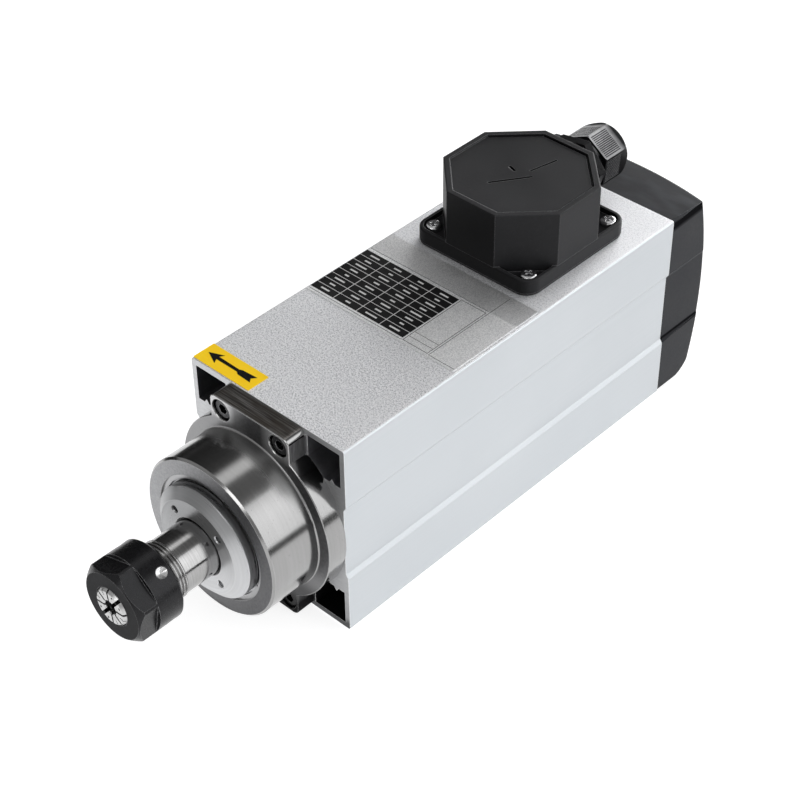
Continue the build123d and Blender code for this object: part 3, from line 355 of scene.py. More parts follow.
def ground_steel():
    """Turned and ground on its round surfaces, milled on the lugs."""
    s = Shader("ground_steel", Metallic=1.0, Anisotropic=0.2)
    obj, x, y, z = s.coords()
    v, r, yy, t = s.turned(1500.0, 1500.0, 0.2)
    v2, *_ = s.turned(260.0, 260.0, 0.5)
    nx, ny, nz = s.normal()
    line = s.noise(v, 1.0, 2.0, 0.55)
    broad = s.noise(v2, 1.0, 2.0, 0.5)
    ring = s.math("ADD", s.math("MULTIPLY", line, 0.55), s.math("MULTIPLY", broad, 0.45))
    turned_col = s.mix(s.fit(ring, 0.30, 0.70), (0.300, 0.299, 0.297), (0.340, 0.338, 0.336))
    # face in front of the nose: flat, mid grey, with painted shade that is lighter on the left and darker on the right
    face = s.math("MULTIPLY", s.fit(s.math("MULTIPLY", ny, -1.0), 0.7, 0.95), s.fit(y, fy(-32.0), fy(-31.0), 1.0, 0.0))
    grit = s.noise(obj, 1300.0, 2.0, 0.6)
    turned_col = s.mix(face, turned_col, s.mix(s.fit(grit, 0.3, 0.7), s.mix(s.fit(x, -0.030, 0.022), (0.31, 0.312, 0.32), (0.10, 0.10, 0.105)),
                                           s.mix(s.fit(x, -0.030, 0.022), (0.40, 0.402, 0.41), (0.15, 0.15, 0.155))))
    # painted shade: the face darkens towards its bottom
    low_face = s.math("MULTIPLY", face, s.fit(z, 0.012, 0.030, 0.55, 0.0))
    turned_col = s.mix(low_face, turned_col, (0.05, 0.05, 0.052))
    # front face of the flange: painted light and shade, bright round the screws, dark between them
    fface = s.math("MULTIPLY", s.fit(s.math("MULTIPLY", ny, -1.0), 0.7, 0.95), s.fit(y, fy(-9.6), fy(-9.3)))
    shade = s.math("MULTIPLY", s.fit(s.math("ABSOLUTE", x), 0.0060, 0.0120), s.fit(z, 0.0790, 0.0840))
    shade = s.math("MAXIMUM", shade, s.fit(x, 0.000, -0.012, 0.0, 0.40))
    shade = s.math("MAXIMUM", shade, s.fit(z, 0.036, 0.024, 0.0, 0.30))
    fcol = s.mix(shade, (0.075, 0.075, 0.078), (0.60, 0.60, 0.605))
    fcol = s.mix(s.fit(grit, 0.3, 0.7, 0.0, 0.25), fcol, (0.30, 0.30, 0.305))
    turned_col = s.mix(fface, turned_col, fcol)
    # painted shade: the underside of the nose and flange rim darkens towards the bottom
    low = s.math("MULTIPLY", s.fit(z, 0.0300, 0.0170, 0.0, 0.85, smooth=True), s.fit(y, fy(-28.0), fy(-11.0), 0.25, 1.0))
    low = s.math("MULTIPLY", low, s.fit(r, 0.0335, 0.0345))
    turned_col = s.mix(s.math("MULTIPLY", low, s.math("SUBTRACT", 1.0, face)), turned_col, (0.035, 0.035, 0.037))
    # milled lug top: streaks across the width, oily brown stain
    streak = s.noise(s.vec(s.math("MULTIPLY", x, 40.0), s.math("MULTIPLY", y, 2300.0), 0.0), 1.0, 4.0, 0.62)
    stain = s.noise(s.vec(s.math("MULTIPLY", x, 60.0), s.math("MULTIPLY", y, 260.0), 0.0), 1.0, 3.0, 0.6)
    lug_col = s.ramp(s.fit(streak, 0.33, 0.67), [(0.0, (0.05, 0.047, 0.043)), (0.5, (0.16, 0.152, 0.145)), (1.0, (0.36, 0.35, 0.34))])
    lug_col = s.mix(s.fit(stain, 0.42, 0.6, 0.0, 0.6), lug_col, (0.10, 0.084, 0.068))
    lug = s.math("MULTIPLY", s.fit(s.math("ABSOLUTE", nz), 0.9, 0.98), s.fit(r, 0.0440, 0.0448))
    col = s.mix(lug, turned_col, lug_col)
    # sawn ends of the lugs: dull, with upright streaks
    lug_end = s.math("MULTIPLY", s.fit(s.math("ABSOLUTE", nx), 0.97, 0.995), s.fit(y, fy(-9.2), fy(-9.0)))
    lug_end = s.math("MULTIPLY", lug_end, s.fit(s.math("ABSOLUTE", x), 0.0210, 0.0211))
    lug_end = s.math("MULTIPLY", lug_end, s.fit(s.math("ABSOLUTE", x), 0.0213, 0.0214, 1.0, 0.0))
    saw = s.noise(s.vec(0.0, s.math("MULTIPLY", y, 1500.0), s.math("MULTIPLY", z, 120.0)), 1.0, 3.0, 0.6)
    col = s.mix(lug_end, col, s.mix(s.fit(saw, 0.3, 0.7), (0.13, 0.13, 0.133), (0.24, 0.24, 0.245)))
    # painted shade: the lowest part, with the lower lug, is made near-black, dull and not metal
    bottom_shade = s.fit(s.math("ADD", z, s.math("MULTIPLY", stain, 0.004)), 0.009, 0.0165, 1.0, 0.0)
    col = s.mix(bottom_shade, col, (0.004, 0.004, 0.0045))
    pit = s.noise(obj, 1500.0, 2.0, 0.6)
    col = s.mix(s.fit(pit, 0.67, 0.73, 0.0, 0.5), col, (0.14, 0.135, 0.13))
    # painted highlight: a near-white line along the edges
    edge = s.edges(0.00045)
    col = s.mix(s.math("MULTIPLY", edge, 0.35), col, (0.93, 0.93, 0.93))
    s.wire(col, "Base Color")
    rr = s.mixf(face, s.fit(ring, 0.3, 0.7, 0.14, 0.17), 0.46)
    rr = s.mixf(fface, rr, s.fit(grit, 0.3, 0.7, 0.32, 0.42))
    rr = s.mixf(lug, rr, s.fit(streak, 0.3, 0.7, 0.28, 0.45))
    rr = s.mixf(lug_end, rr, 0.62)
    # handled and a little dull where the nose meets the upper lug
    near = s.math("MULTIPLY", s.fit(y, fy(-19.0), fy(-13.0)), s.fit(z, 0.060, 0.072))
    near = s.math("MULTIPLY", near, s.fit(r, 0.0352, 0.0356, 1.0, 0.0))
    rr = s.mixf(near, rr, 0.40)
    rr = s.mixf(bottom_shade, rr, 0.7)
    s.wire(rr, "Roughness")
    s.wire(s.mixf(bottom_shade, 1.0, 0.0), "Metallic")
    s.wire(s.mixf(bottom_shade, 0.5, 0.08), "Specular IOR Level")
    s.radial_tangent()
    height = s.mixf(lug, s.math("MULTIPLY", ring, 0.06), streak)
    s.finish_normal(s.bump(height, 0.25, 0.00012, bevel=0.00035))
    return s.mat


def black_oxide(name="black_oxide", centre_z=AXIS_Z):
    s = Shader(name, Metallic=0.35)
    obj, x, y, z = s.coords()
    v, *_ = s.turned(900.0, 900.0, 0.3, centre_z)
    line = s.noise(v, 1.0, 2.0, 0.5)
    mottle = s.noise(obj, 420.0, 4.0, 0.62)
    col = s.mix(s.fit(mottle, 0.3, 0.7), (0.018, 0.018, 0.020), (0.040, 0.040, 0.044))
    # light edges: partly worn bare metal, partly painted highlight
    wear_and_highlight = s.math("MULTIPLY", s.edges(0.00035), s.fit(s.noise(obj, 260.0, 3.0, 0.6), 0.35, 0.6, 0.25, 1.0))
    col = s.mix(wear_and_highlight, col, (0.30, 0.30, 0.31))
    # small light specks scattered at random
    rub = s.noise(obj, 1500.0, 2.0, 0.6)
    col = s.mix(s.fit(rub, 0.68, 0.74, 0.0, 0.5), col, (0.12, 0.12, 0.125))
    s.wire(col, "Base Color")
    s.wire(s.math("ADD", s.fit(mottle, 0.3, 0.7, 0.36, 0.48), s.fit(line, 0.3, 0.7, -0.03, 0.05)), "Roughness")
    h = s.math("ADD", s.math("MULTIPLY", mottle, 0.6), s.math("MULTIPLY", line, 0.4))
    s.finish_normal(s.bump(h, 0.12, 0.0001, bevel=0.0004))
    return s.mat


def nut_oxide():
    """Black oxide with bright bare metal in the hook-spanner dimples."""
    s = Shader("nut_oxide", Metallic=0.4, Specular_IOR_Level=0.36)
    obj, x, y, z = s.coords()
    v, r, yy, t = s.turned(900.0, 900.0, 0.3)
    line = s.noise(v, 1.0, 2.0, 0.5)
    mottle = s.noise(obj, 420.0, 4.0, 0.62)
    col = s.mix(s.fit(mottle, 0.3, 0.7), (0.010, 0.010, 0.011), (0.016, 0.016, 0.0176))
    collar = s.math("MULTIPLY", s.fit(r, 0.0150, 0.0156), s.fit(y, fy(-58.8), fy(-58.4)))
    col = s.mix(collar, col, (0.030, 0.030, 0.032))
    # light edges: partly worn bare metal, partly painted highlight
    wear_and_highlight = s.math("MULTIPLY", s.edges(0.00035), s.fit(s.noise(obj, 260.0, 3.0, 0.6), 0.35, 0.6, 0.4, 1.0))
    col = s.mix(wear_and_highlight, col, (0.42, 0.42, 0.43))
    rub = s.noise(obj, 1500.0, 2.0, 0.6)
    col = s.mix(s.fit(rub, 0.68, 0.74, 0.0, 0.2), col, (0.12, 0.12, 0.125))
    bare = s.math("MULTIPLY", band(s, y, fy(-67.6), fy(-62.4), 0.0001), s.fit(r, 0.01685, 0.01695, 1.0, 0.0))
    bare = s.math("MULTIPLY", bare, s.fit(r, 0.0135, 0.0138))
    col = s.mix(bare, col, (0.80, 0.80, 0.80))
    nface = s.math("MULTIPLY", s.fit(s.math("MULTIPLY", s.normal()[1], -1.0), 0.92, 0.97), s.fit(y, fy(-81.0), fy(-80.0), 1.0, 0.0))
    s.wire(col, "Base Color")
    rough = s.math("ADD", s.fit(mottle, 0.3, 0.7, 0.24, 0.31), s.fit(line, 0.3, 0.7, -0.02, 0.03))
    s.wire(s.mixf(nface, s.mixf(bare, rough, 0.22), 0.55), "Roughness")
    s.wire(s.math("MULTIPLY", s.mixf(bare, 0.5, 1.0), s.mixf(nface, 1.0, 0.4)), "Metallic")
    s.wire(s.mixf(nface, 0.36, 0.08), "Specular IOR Level")
    h = s.math("ADD", s.math("MULTIPLY", mottle, 0.6), s.math("MULTIPLY", line, 0.4))
    s.finish_normal(s.bump(h, 0.12, 0.0001, bevel=0.0004))
    return s.mat


def moulded(name, dark, light, rough=(0.45, 0.6), grain=1400.0, strength=0.25, dust=0.15, dust_col=(0.16, 0.16, 0.165),
            bevel=0.0005, edge=None, spec=0.5, big=0.0, up_gain=0.0):
    s = Shader(name, Specular_IOR_Level=spec)
    obj, x, y, z = s.coords()
    g = s.noise(obj, grain, 2.0, 0.55)
    cell = s.voronoi(obj, grain * 0.55, "SMOOTH_F1")
    drift = s.noise(obj, 35.0, 4.0, 0.6)
    tex = s.math("ADD", s.math("MULTIPLY", g, 0.6), s.math("MULTIPLY", cell, 0.4))
    col = s.mix(s.fit(drift, 0.3, 0.7), dark, light)
    col = s.mix(s.fit(tex, 0.45, 0.75, 0.0, 0.25), col, tuple(min(1.0, c * 1.6) for c in light))
    if dust:
        speck = s.noise(obj, 620.0, 4.0, 0.65)
        col = s.mix(s.fit(speck, 0.66, 0.74, 0.0, dust), col, dust_col)
    if up_gain:
        nx, ny, nz = s.normal()
        # painted light: faces that look up are made lighter
        col = s.mix(s.fit(nz, 0.5, 0.95, 0.0, up_gain), col, (0.10, 0.10, 0.104))
        # painted shadow: a near-black line, with no specular, in the lid's sunk border round the lid's centre
        sunk = s.math("MULTIPLY", s.fit(z, 0.1228, 0.1230), s.fit(z, 0.12408, 0.12416, 1.0, 0.0))
        cx = s.math("ABSOLUTE", x)
        cy = s.math("ABSOLUTE", s.math("SUBTRACT", y, fy(147.5)))
        sunk = s.math("MULTIPLY", sunk, s.math("MULTIPLY", s.fit(cx, 0.0180, 0.0185, 1.0, 0.0), s.fit(cy, 0.0180, 0.0185, 1.0, 0.0)))
        # painted shade: faces that look to the front, and less so to the left, are darkened almost to black
        col = s.mix(s.fit(s.math("SUBTRACT", s.math("MULTIPLY", ny, -1.0), s.math("MULTIPLY", nx, 0.4)), 0.3, 0.8, 0.0, 0.85), col, (0.003, 0.003, 0.0034))
    if edge:
        # painted highlight: a light line along the edges
        col = s.mix(s.math("MULTIPLY", s.edges(bevel), 0.6), col, edge)
    if up_gain:
        # painted shadow in the lid's sunk border
        col = s.mix(sunk, col, (0.001, 0.001, 0.001))
        s.wire(s.mixf(sunk, spec, 0.0), "Specular IOR Level")
    s.wire(col, "Base Color")
    s.wire(s.math("ADD", s.fit(drift, 0.3, 0.7, rough[0], rough[1]), s.fit(tex, 0.3, 0.7, -0.03, 0.05)), "Roughness")
    if big:
        tex = s.math("ADD", tex, s.math("MULTIPLY", s.noise(obj, 90.0, 2.0, 0.5), big))
    s.finish_normal(s.bump(tex, strength, 0.0001, bevel=bevel))
    return s.mat


def gland_finish():
    """Black moulded nylon, with a painted highlight, a light grey sheen, on the faces that look up."""
    s = Shader("gland_nylon", Specular_IOR_Level=0.08)
    obj, x, y, z = s.coords()
    nx, ny, nz = s.normal()
    g = s.noise(obj, 1200.0, 2.0, 0.55)
    drift = s.noise(obj, 150.0, 3.0, 0.6)
    up = s.math("MULTIPLY", s.fit(nz, 0.60, 0.80), s.fit(drift, 0.3, 0.7, 0.55, 1.0))
    up = s.math("MULTIPLY", up, s.fit(y, fy(186.0), fy(187.5)))
    up = s.math("MULTIPLY", up, s.fit(y, fy(198.5), fy(201.0), 1.0, 0.0))
    col = s.mix(s.fit(drift, 0.3, 0.7), (0.004, 0.004, 0.0045), (0.009, 0.009, 0.010))
    # how far out along the hexagon's flats: the ribs carry the painted highlight, the grooves stay near black
    zz = s.math("SUBTRACT", z, 0.110)
    out_r = None
    for turn in (55.0, 115.0, 175.0):
        ca, sa = math.cos(math.radians(turn)), math.sin(math.radians(turn))
        d = s.math("ABSOLUTE", s.math("ADD", s.math("MULTIPLY", x, ca), s.math("MULTIPLY", zz, sa)))
        out_r = d if out_r is None else s.math("MAXIMUM", out_r, d)
    groove = s.math("MULTIPLY", band(s, y, fy(188.7), fy(198.1), 0.00005), s.fit(out_r, 0.01096, 0.01110, 1.0, 0.0))
    groove = s.math("MULTIPLY", groove, s.fit(nz, 0.3, 0.5))
    # painted highlight: brightest on the left, dimmer on the right
    sheen = s.mix(s.fit(x, -0.009, 0.006), (0.90, 0.90, 0.91), (0.42, 0.42, 0.43))
    col = s.mix(up, col, sheen)
    col = s.mix(s.math("MULTIPLY", groove, 0.9), col, (0.02, 0.02, 0.021))
    # painted highlight: a light line along the edges
    col = s.mix(s.math("MULTIPLY", s.edges(0.0003), 0.5), col, (0.14, 0.14, 0.145))
    s.wire(col, "Base Color")
    s.wire(s.math("ADD", s.fit(drift, 0.3, 0.7, 0.26, 0.36), s.fit(g, 0.3, 0.7, -0.03, 0.04)), "Roughness")
    s.finish_normal(s.bump(g, 0.12, 0.0001, bevel=0.0003))
    return s.mat


def cast_metal(name, dark, light, rough=(0.4, 0.55), grain=700.0, rim=None):
    s = Shader(name, Metallic=1.0)
    obj, x, y, z = s.coords()
    g = s.noise(obj, grain, 4.0, 0.6)
    drift = s.noise(obj, 40.0, 3.0, 0.6)
    col = s.mix(s.fit(g, 0.3, 0.7), dark, light)
    if rim:
        # painted highlight: a light rim along the edges
        col = s.mix(s.math("MULTIPLY", s.edges(0.0004), 0.85), col, rim)
        # painted shade: parts below about 14 mm are made near-black
        col = s.mix(s.fit(z, 0.012, 0.016, 0.95, 0.0), col, (0.003, 0.003, 0.003))
    s.wire(col, "Base Color")
    s.wire(s.math("ADD", s.fit(g, 0.3, 0.7, rough[0], rough[1]), s.fit(drift, 0.3, 0.7, -0.04, 0.05)), "Roughness")
    s.finish_normal(s.bump(g, 0.25, 0.00015, bevel=0.0003))
    return s.mat


def winding():
    s = Shader("copper_winding", Metallic=0.85, Coat_Weight=0.35, Coat_Roughness=0.25)
    obj, x, y, z = s.coords()
    v, r, yy, t = s.turned(1600.0, 1600.0, 5.0)
    strand = s.noise(v, 1.0, 1.0, 0.4)
    drift = s.noise(obj, 120.0, 3.0, 0.6)
    col = s.mix(s.fit(strand, 0.35, 0.65), (0.20, 0.065, 0.02), (0.68, 0.30, 0.12))
    s.wire(s.mix(s.fit(drift, 0.4, 0.7, 0.0, 0.4), col, (0.12, 0.05, 0.02)), "Base Color")
    s.wire(s.fit(strand, 0.3, 0.7, 0.3, 0.5), "Roughness")
    s.finish_normal(s.bump(strand, 0.7, 0.0004))
    return s.mat


def lamination():
    s = Shader("lamination_steel", Metallic=1.0)
    obj, x, y, z = s.coords()
    sheet = s.noise(s.vec(0.0, s.math("MULTIPLY", y, 2000.0), 0.0), 1.0, 1.0, 0.4)
    drift = s.noise(obj, 90.0, 3.0, 0.6)
    col = s.mix(s.fit(sheet, 0.35, 0.65), (0.14, 0.14, 0.145), (0.36, 0.36, 0.37))
    s.wire(s.mix(s.fit(drift, 0.45, 0.7, 0.0, 0.35), col, (0.18, 0.12, 0.08)), "Base Color")
    s.wire(s.fit(sheet, 0.3, 0.7, 0.35, 0.55), "Roughness")
    s.finish_normal(s.bump(sheet, 0.5, 0.0002))
    return s.mat


def cowl_finish():
    """Dark moulded plastic: smudged, with a painted highlight along its edges, such as the sunk band's rims and the
    front one.
    """
    s = Shader("cowl_plastic", Specular_IOR_Level=0.16)
    obj, x, y, z = s.coords()
    nx, ny, nz = s.normal()
    g = s.noise(obj, 1500.0, 2.0, 0.55)
    cell = s.voronoi(obj, 825.0, "SMOOTH_F1")
    tex = s.math("ADD", s.math("MULTIPLY", g, 0.6), s.math("MULTIPLY", cell, 0.4))
    drift = s.noise(obj, 35.0, 4.0, 0.6)
    smudge = s.noise(s.vec(s.math("MULTIPLY", x, 50.0), s.math("MULTIPLY", y, 110.0), s.math("MULTIPLY", z, 80.0)), 1.0, 2.0, 0.5)
    col = s.mix(s.fit(drift, 0.3, 0.7), (0.0085, 0.0090, 0.0115), (0.0135, 0.0144, 0.0178))
    col = s.mix(s.fit(tex, 0.45, 0.75, 0.0, 0.25), col, (0.024, 0.0255, 0.030))
    col = s.mix(s.math("MULTIPLY", s.fit(smudge, 0.48, 0.66, 0.0, 0.36), s.fit(nz, 0.5, 0.9)), col, (0.052, 0.056, 0.066))
    # a dark shade on the side just under the upper edge, and one above the band's lower lip
    side = s.fit(s.math("ABSOLUTE", nx), 0.80, 0.95)
    under = s.math("MULTIPLY", s.fit(z, 0.0870, 0.0890), s.fit(z, 0.0918, 0.0924, 1.0, 0.0))
    lip = band(s, z, AXIS_Z - 0.0182, AXIS_Z - 0.0160, 0.0004)
    shade = s.math("MULTIPLY", side, s.math("MAXIMUM", under, lip))
    col = s.mix(s.math("MULTIPLY", shade, 0.9), col, (0.002, 0.002, 0.0024))
    s.wire(s.mixf(shade, 0.16, 0.02), "Specular IOR Level")
    speck = s.noise(obj, 620.0, 4.0, 0.65)
    col = s.mix(s.fit(speck, 0.66, 0.74, 0.0, 0.10), col, (0.16, 0.16, 0.165))
    # painted highlight: a light line along the edges
    col = s.mix(s.math("MULTIPLY", s.edges(0.0005), 0.8), col, (0.22, 0.224, 0.235))
    s.wire(col, "Base Color")
    rough = s.math("ADD", s.fit(drift, 0.3, 0.7, 0.44, 0.54), s.fit(tex, 0.3, 0.7, -0.03, 0.05))
    s.wire(s.mixf(shade, rough, 0.9), "Roughness")
    s.finish_normal(s.bump(tex, 0.22, 0.0001, bevel=0.0005))
    return s.mat


def rubber(name="gasket_rubber"):
    s = Shader(name, Specular_IOR_Level=0.3)
    obj, x, y, z = s.coords()
    g = s.noise(obj, 900.0, 3.0, 0.6)
    s.wire(s.mix(s.fit(g, 0.3, 0.7), (0.010, 0.010, 0.011), (0.026, 0.026, 0.027)), "Base Color")
    s.wire(s.fit(g, 0.3, 0.7, 0.65, 0.85), "Roughness")
    s.finish_normal(s.bump(g, 0.3, 0.0001))
    return s.mat


STEEL_D, STEEL_L = (0.44, 0.435, 0.43), (0.62, 0.615, 0.61)
mats = {
    "extruded_aluminium": extruded_aluminium(),
    "lamination_steel": lamination(),
    "copper_winding": winding(),
    "ground_steel": ground_steel(),
    "screw_steel": cast_metal("screw_steel", (0.035, 0.035, 0.037), (0.10, 0.10, 0.104), (0.22, 0.34), 900.0, (0.62, 0.62, 0.63)),
    "bearing_steel": turned_metal("bearing_steel", (0.60, 0.60, 0.61), (0.78, 0.78, 0.79), (0.08, 0.16), 0.3, 1600.0, 0.05, edge_amount=0.2),
    "cage_plastic": moulded("cage_plastic", (0.16, 0.085, 0.035), (0.26, 0.15, 0.07), (0.5, 0.65)),
    "turned_aluminium": turned_metal("turned_aluminium", (0.52, 0.525, 0.535), (0.64, 0.645, 0.655), (0.26, 0.34), 0.25, 1500.0, 0.07,
                                     edge=(0.97, 0.97, 0.97), edge_amount=0.6, sectors=(-60.0, 0.50)),
    "spring_steel": turned_metal("spring_steel", (0.30, 0.30, 0.305), (0.44, 0.44, 0.445), (0.24, 0.36), 0.3, 1300.0, 0.08),
    "shaft_steel": turned_metal("shaft_steel", (0.31, 0.308, 0.306), (0.40, 0.398, 0.396), (0.10, 0.16), 0.1, 1500.0, 0.03,
                                edge=(0.9, 0.9, 0.9), edge_amount=0.6, spots=0.35),
    "cage_aluminium": cast_metal("cage_aluminium", (0.50, 0.505, 0.515), (0.72, 0.725, 0.735)),
    "collet_steel": turned_metal("collet_steel", (0.44, 0.44, 0.438), (0.60, 0.60, 0.598), (0.22, 0.34), 0.3, 1500.0, 0.08,
                                 edge=(0.95, 0.95, 0.95), edge_amount=0.4),
    "black_oxide": black_oxide(),
    "fan_plastic": moulded("fan_plastic", (0.020, 0.020, 0.021), (0.034, 0.034, 0.035), (0.4, 0.55)),
    "cowl_plastic": cowl_finish(),
    "gasket_rubber": rubber(),
    "box_plastic": moulded("box_plastic", (0.014, 0.014, 0.0152), (0.022, 0.022, 0.0237), (0.40, 0.50), 1300.0, 0.28, 0.14,
                           big=0.25, edge=(0.30, 0.30, 0.31), spec=0.12, bevel=0.0006, up_gain=0.10),
    "bright_screw": cast_metal("bright_screw", (0.62, 0.62, 0.63), (0.82, 0.82, 0.83), (0.12, 0.24), 1000.0),
    "block_plastic": moulded("block_plastic", (0.08, 0.03, 0.018), (0.13, 0.05, 0.03)),
    "brass_parts": cast_metal("brass_parts", (0.60, 0.43, 0.16), (0.82, 0.63, 0.30), (0.16, 0.3), 900.0),
    "lead_jacket": moulded("lead_jacket", (0.30, 0.02, 0.012), (0.42, 0.04, 0.025), (0.35, 0.5), 500.0, 0.1, 0.0),
    "gland_nylon": gland_finish(),
    "label_yellow": label_yellow(),
    "label_black": data_film(),
}
by_node = {s["node"]: s["material_slot"] for s in frame["record"]["subparts"]}
for name, obj in nodes.items():
    slot = by_node.get(name)
    mat = mats[slot]
    if name == "collet_nut":
        mat = nut_oxide()
    obj.data.materials.clear()
    obj.data.materials.append(mat)


# ---------------------------------------------------------------------------
# Printed ink: thin raised prints on the two labels
# ---------------------------------------------------------------------------
def print_piece(name, polygons, z, thick, material):
    """Flat polygons in millimetres (x, a), raised by a thin layer."""
    bm = bmesh.new()
    for poly in polygons:
        verts = [bm.verts.new((px / 1000.0, fy(pa), z / 1000.0)) for px, pa in poly]
        face = bm.faces.new(verts)
        if face.normal.z < 0:
            face.normal_flip()
    bmesh.ops.triangulate(bm, faces=[f for f in bm.faces if len(f.verts) > 4])
    top = bmesh.ops.extrude_face_region(bm, geom=bm.faces[:])
    bmesh.ops.translate(bm, vec=(0, 0, thick / 1000.0), verts=[g for g in top["geom"] if isinstance(g, bmesh.types.BMVert)])
    bmesh.ops.recalc_face_normals(bm, faces=bm.faces)
    me = bpy.data.meshes.new(name)
    bm.to_mesh(me)
    bm.free()
    o = bpy.data.objects.new(name, me)
    scene.collection.objects.link(o)
    me.materials.append(material)
    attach(o, "housing")
    return o


def rect(x0, a0, x1, a1):
    return [(x0, a0), (x1, a0), (x1, a1), (x0, a1)]


film_top = 93.2
arrow = [
    (-38.3, 6.55), (-31.8, 9.3), (-33.0, 7.3), (-21.6, 7.15), (-20.3, 7.75), (-12.9, 8.3), (-14.5, 6.3),
    (-13.1, 4.5), (-20.2, 4.75), (-21.4, 5.65), (-32.8, 5.6), (-31.6, 3.4),
]
print_piece("arrow_print", [arrow], film_top + 0.015, 0.03, ink("ink_black", (0.006, 0.006, 0.006), (0.014, 0.014, 0.014)))

# white grid and blank entry bars of the data plate
col_x = [-39.9 + k * (10.9 + 39.9) / 4 for k in range(5)]
row_a = [63.6 + k * (96.7 - 63.6) / 8 for k in range(9)]
white = []
for xc in col_x[1:4]:
    white.append(rect(xc - 0.14, 63.6, xc + 0.14, 96.7))
gaps = [(col_x[i] + (0.14 if i else 0.0), col_x[i + 1] - (0.14 if i < 3 else 0.0)) for i in range(4)]
for ra in row_a[1:8]:
    for g0, g1 in gaps:
        white.append(rect(g0, ra - 0.13, g1, ra + 0.13))
lengths = [4.6, 3.0, 5.4, 2.2, 4.0, 6.0, 3.4, 5.0, 2.6, 4.4, 3.8]
k = 0
for i in range(4):
    for j in range(8):
        mid_x = (col_x[i] + col_x[i + 1]) / 2
        mid_a = (row_a[j] + row_a[j + 1]) / 2
        half = lengths[k % len(lengths)] / 2
        k += 1
        white.append(rect(mid_x - half, mid_a - 0.42, mid_x + half, mid_a + 0.42))
print_piece("plate_print_light", white, film_top + 0.015, 0.03, ink("ink_light", (0.62, 0.62, 0.62), (0.74, 0.74, 0.74)))

dark = []
line = 0.12


def frame_lines(x0, a0, x1, a1):
    return [
        rect(x0, a0, x1, a0 + 2 * line),
        rect(x0, a1 - 2 * line, x1, a1),
        rect(x0, a0 + 2 * line, x0 + 2 * line, a1 - 2 * line),
        rect(x1 - 2 * line, a0 + 2 * line, x1, a1 - 2 * line),
    ]


dark += frame_lines(11.6, 62.6, 24.6, 97.2)
dark += [rect(12.0, 69.4, 24.2, 69.6), rect(12.0, 66.0, 24.2, 66.2)]
dark += [rect(-39.6, 62.3, 11.3, 62.5), rect(-39.6, 98.4, 24.6, 98.6)]
dark += [rect(25.4, 62.3, 25.6, 110.6), rect(25.9, 62.3, 38.6, 62.5)]
print_piece("plate_print_dark", dark, film_top + 0.015, 0.03, ink("ink_dark", (0.05, 0.05, 0.05), (0.09, 0.09, 0.09)))


# ---------------------------------------------------------------------------
# Floor, light and camera
# ---------------------------------------------------------------------------
def make_floor():
    bm = bmesh.new()
    bmesh.ops.create_grid(bm, x_segments=8, y_segments=8, size=4.0)
    me = bpy.data.meshes.new("floor")
    bm.to_mesh(me)
    bm.free()
    o = bpy.data.objects.new("floor", me)
    o.location = (0, 0, -0.0006)
    scene.collection.objects.link(o)
    s = Shader("floor_paper", Roughness=0.9, Specular_IOR_Level=0.1)
    obj, x, y, z = s.coords()
    n = s.noise(obj, 3.0, 2.0, 0.5)
    s.wire(s.mix(n, (0.50, 0.50, 0.505), (0.54, 0.54, 0.545)), "Base Color")
    s.bsdf.inputs["Emission Color"].default_value = (1, 1, 1, 1)
    s.bsdf.inputs["Emission Strength"].default_value = 0.80
    me.materials.append(s.mat)
    return o


make_floor()


def softbox(name, location, target, size_x, size_y, power, colour=(1, 1, 1), spread=180):
    data = bpy.data.lights.new(name, "AREA")
    data.shape = "RECTANGLE"
    data.size = size_x
    data.size_y = size_y
    data.energy = power
    data.color = colour
    data.spread = math.radians(spread)
    o = bpy.data.objects.new(name, data)
    scene.collection.objects.link(o)
    o.location = location
    d = Vector(target) - Vector(location)
    o.rotation_euler = d.to_track_quat("-Z", "Y").to_euler()
    return o


aim = (0, 0, 0.05)
softbox("key_right", (1.25, 0.40, 0.66), aim, 1.5, 1.5, 8.0, (0.98, 0.99, 1.0))
softbox("front_strip", (0.15, -1.15, 0.70), aim, 0.6, 0.3, 1.7, (1.0, 1.0, 1.0))


def flag(name, x, y0, y1, height):
    """A low black card beside the floor's middle, seen only in polished metal."""
    bm = bmesh.new()
    verts = [bm.verts.new(c) for c in ((x, y0, 0.0), (x, y1, 0.0), (x, y1, height), (x, y0, height))]
    bm.faces.new(verts)
    me = bpy.data.meshes.new(name)
    bm.to_mesh(me)
    bm.free()
    o = bpy.data.objects.new(name, me)
    scene.collection.objects.link(o)
    s = Shader(name + "_felt", Roughness=0.95, Specular_IOR_Level=0.1)
    obj, *_ = s.coords()
    s.wire(s.mix(s.noise(obj, 200.0, 2.0, 0.5), (0.01, 0.01, 0.01), (0.02, 0.02, 0.02)), "Base Color")
    me.materials.append(s.mat)
    o.visible_camera = False
    o.visible_diffuse = False
    o.visible_shadow = False


flag("flag_left", -0.30, -0.25, 0.50, 0.10)
flag("flag_right", 0.28, -0.25, 0.50, 0.045)


world = bpy.data.worlds.new("studio")
scene.world = world
world.use_nodes = True
wt = world.node_tree
wt.nodes.clear()
w_out = wt.nodes.new("ShaderNodeOutputWorld")
w_bg = wt.nodes.new("ShaderNodeBackground")
w_tc = wt.nodes.new("ShaderNodeTexCoord")
w_sep = wt.nodes.new("ShaderNodeSeparateXYZ")
wt.links.new(w_tc.outputs["Generated"], w_sep.inputs[0])
w_at = wt.nodes.new("ShaderNodeMath")
w_at.operation = "ARCTAN2"
wt.links.new(w_sep.outputs[2], w_at.inputs[0])
wt.links.new(w_sep.outputs[0], w_at.inputs[1])
w_map = wt.nodes.new("ShaderNodeMapRange")
w_map.inputs["From Min"].default_value = -math.pi
w_map.inputs["From Max"].default_value = math.pi
wt.links.new(w_at.outputs[0], w_map.inputs["Value"])
w_ramp = wt.nodes.new("ShaderNodeValToRGB")


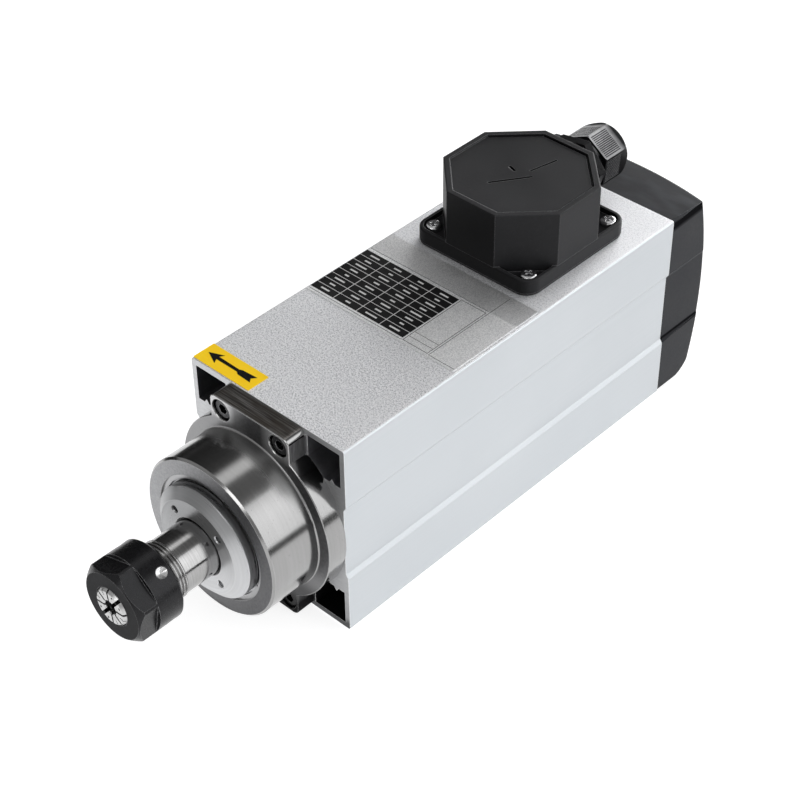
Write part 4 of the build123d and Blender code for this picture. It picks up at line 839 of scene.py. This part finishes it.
def deg(a):
    return (a + 180.0) / 360.0


stops = [
    (deg(-180), 0.30), (deg(-8), 0.8), (deg(5), 0.9), (deg(12), 0.9), (deg(34), 1.1), (deg(44), 1.0), (deg(56), 0.55),
    (deg(68), 0.25), (deg(92), 0.24), (deg(97), 1.5), (deg(108), 1.5), (deg(116), 0.10), (deg(162), 0.04), (deg(179), 0.08),
]
el = w_ramp.color_ramp.elements
while len(el) < len(stops):
    el.new(0.5)
for e, (p, c) in zip(el, stops):
    e.position = p
    e.color = (c, c, c, 1.0)
wt.links.new(w_map.outputs[0], w_ramp.inputs[0])


def w_fit(socket, a, b, c, d):
    n = wt.nodes.new("ShaderNodeMapRange")
    n.interpolation_type = "SMOOTHSTEP"
    wt.links.new(socket, n.inputs["Value"])
    for v, k in zip((a, b, c, d), ("From Min", "From Max", "To Min", "To Max")):
        n.inputs[k].default_value = v
    return n.outputs["Result"]


def w_mix(fac, a, b):
    n = wt.nodes.new("ShaderNodeMix")
    n.data_type = "RGBA"
    wt.links.new(fac, n.inputs[0])
    for v, sock in ((a, n.inputs[6]), (b, n.inputs[7])):
        if isinstance(v, float):
            sock.default_value = (v, v, v, 1.0)
        else:
            wt.links.new(v, sock)
    return n.outputs[2]


front_wall = w_fit(w_sep.outputs[1], 0.05, 0.28, 1.0, 0.0)
back_wall = w_fit(w_sep.outputs[1], 0.76, 0.90, 0.0, 1.0)
w_col = w_mix(front_wall, w_ramp.outputs[0], 0.50)
w_col = w_mix(back_wall, w_col, 8.0)
wt.links.new(w_col, w_bg.inputs["Color"])
w_bg.inputs["Strength"].default_value = 0.85
wt.links.new(w_bg.outputs[0], w_out.inputs[0])

# the camera stands at the photograph's angle
F_PX, AZ, EL, ROLL = 1912.62, math.radians(43.471), math.radians(40.030), math.radians(-0.651)
TX, TY, DIST = 43.998, 25.11, 0.79922
back = Vector((math.sin(AZ) * math.cos(EL), -math.cos(AZ) * math.cos(EL), math.sin(EL)))
right = Vector((math.cos(AZ), math.sin(AZ), 0.0))
up = back.cross(right)
right_r = right * math.cos(ROLL) + up * math.sin(ROLL)
up_r = -right * math.sin(ROLL) + up * math.cos(ROLL)
look = Vector((0.0, fy(100.0), AXIS_Z))
place = look + right_r * (-TX * DIST / F_PX) + up_r * (-TY * DIST / F_PX) + back * DIST
cam_data = bpy.data.cameras.new("camera")
cam = bpy.data.objects.new("camera", cam_data)
scene.collection.objects.link(cam)
cam_data.sensor_width = 36.0
cam_data.lens = F_PX / 800.0 * 36.0
cam_data.clip_start = 0.01
cam_data.clip_end = 50.0
cam.matrix_world = Matrix((
    (right_r.x, up_r.x, back.x, place.x),
    (right_r.y, up_r.y, back.y, place.y),
    (right_r.z, up_r.z, back.z, place.z),
    (0, 0, 0, 1),
))
scene.camera = cam
scene.view_settings.view_transform = "Standard"
scene.view_settings.look = "None"

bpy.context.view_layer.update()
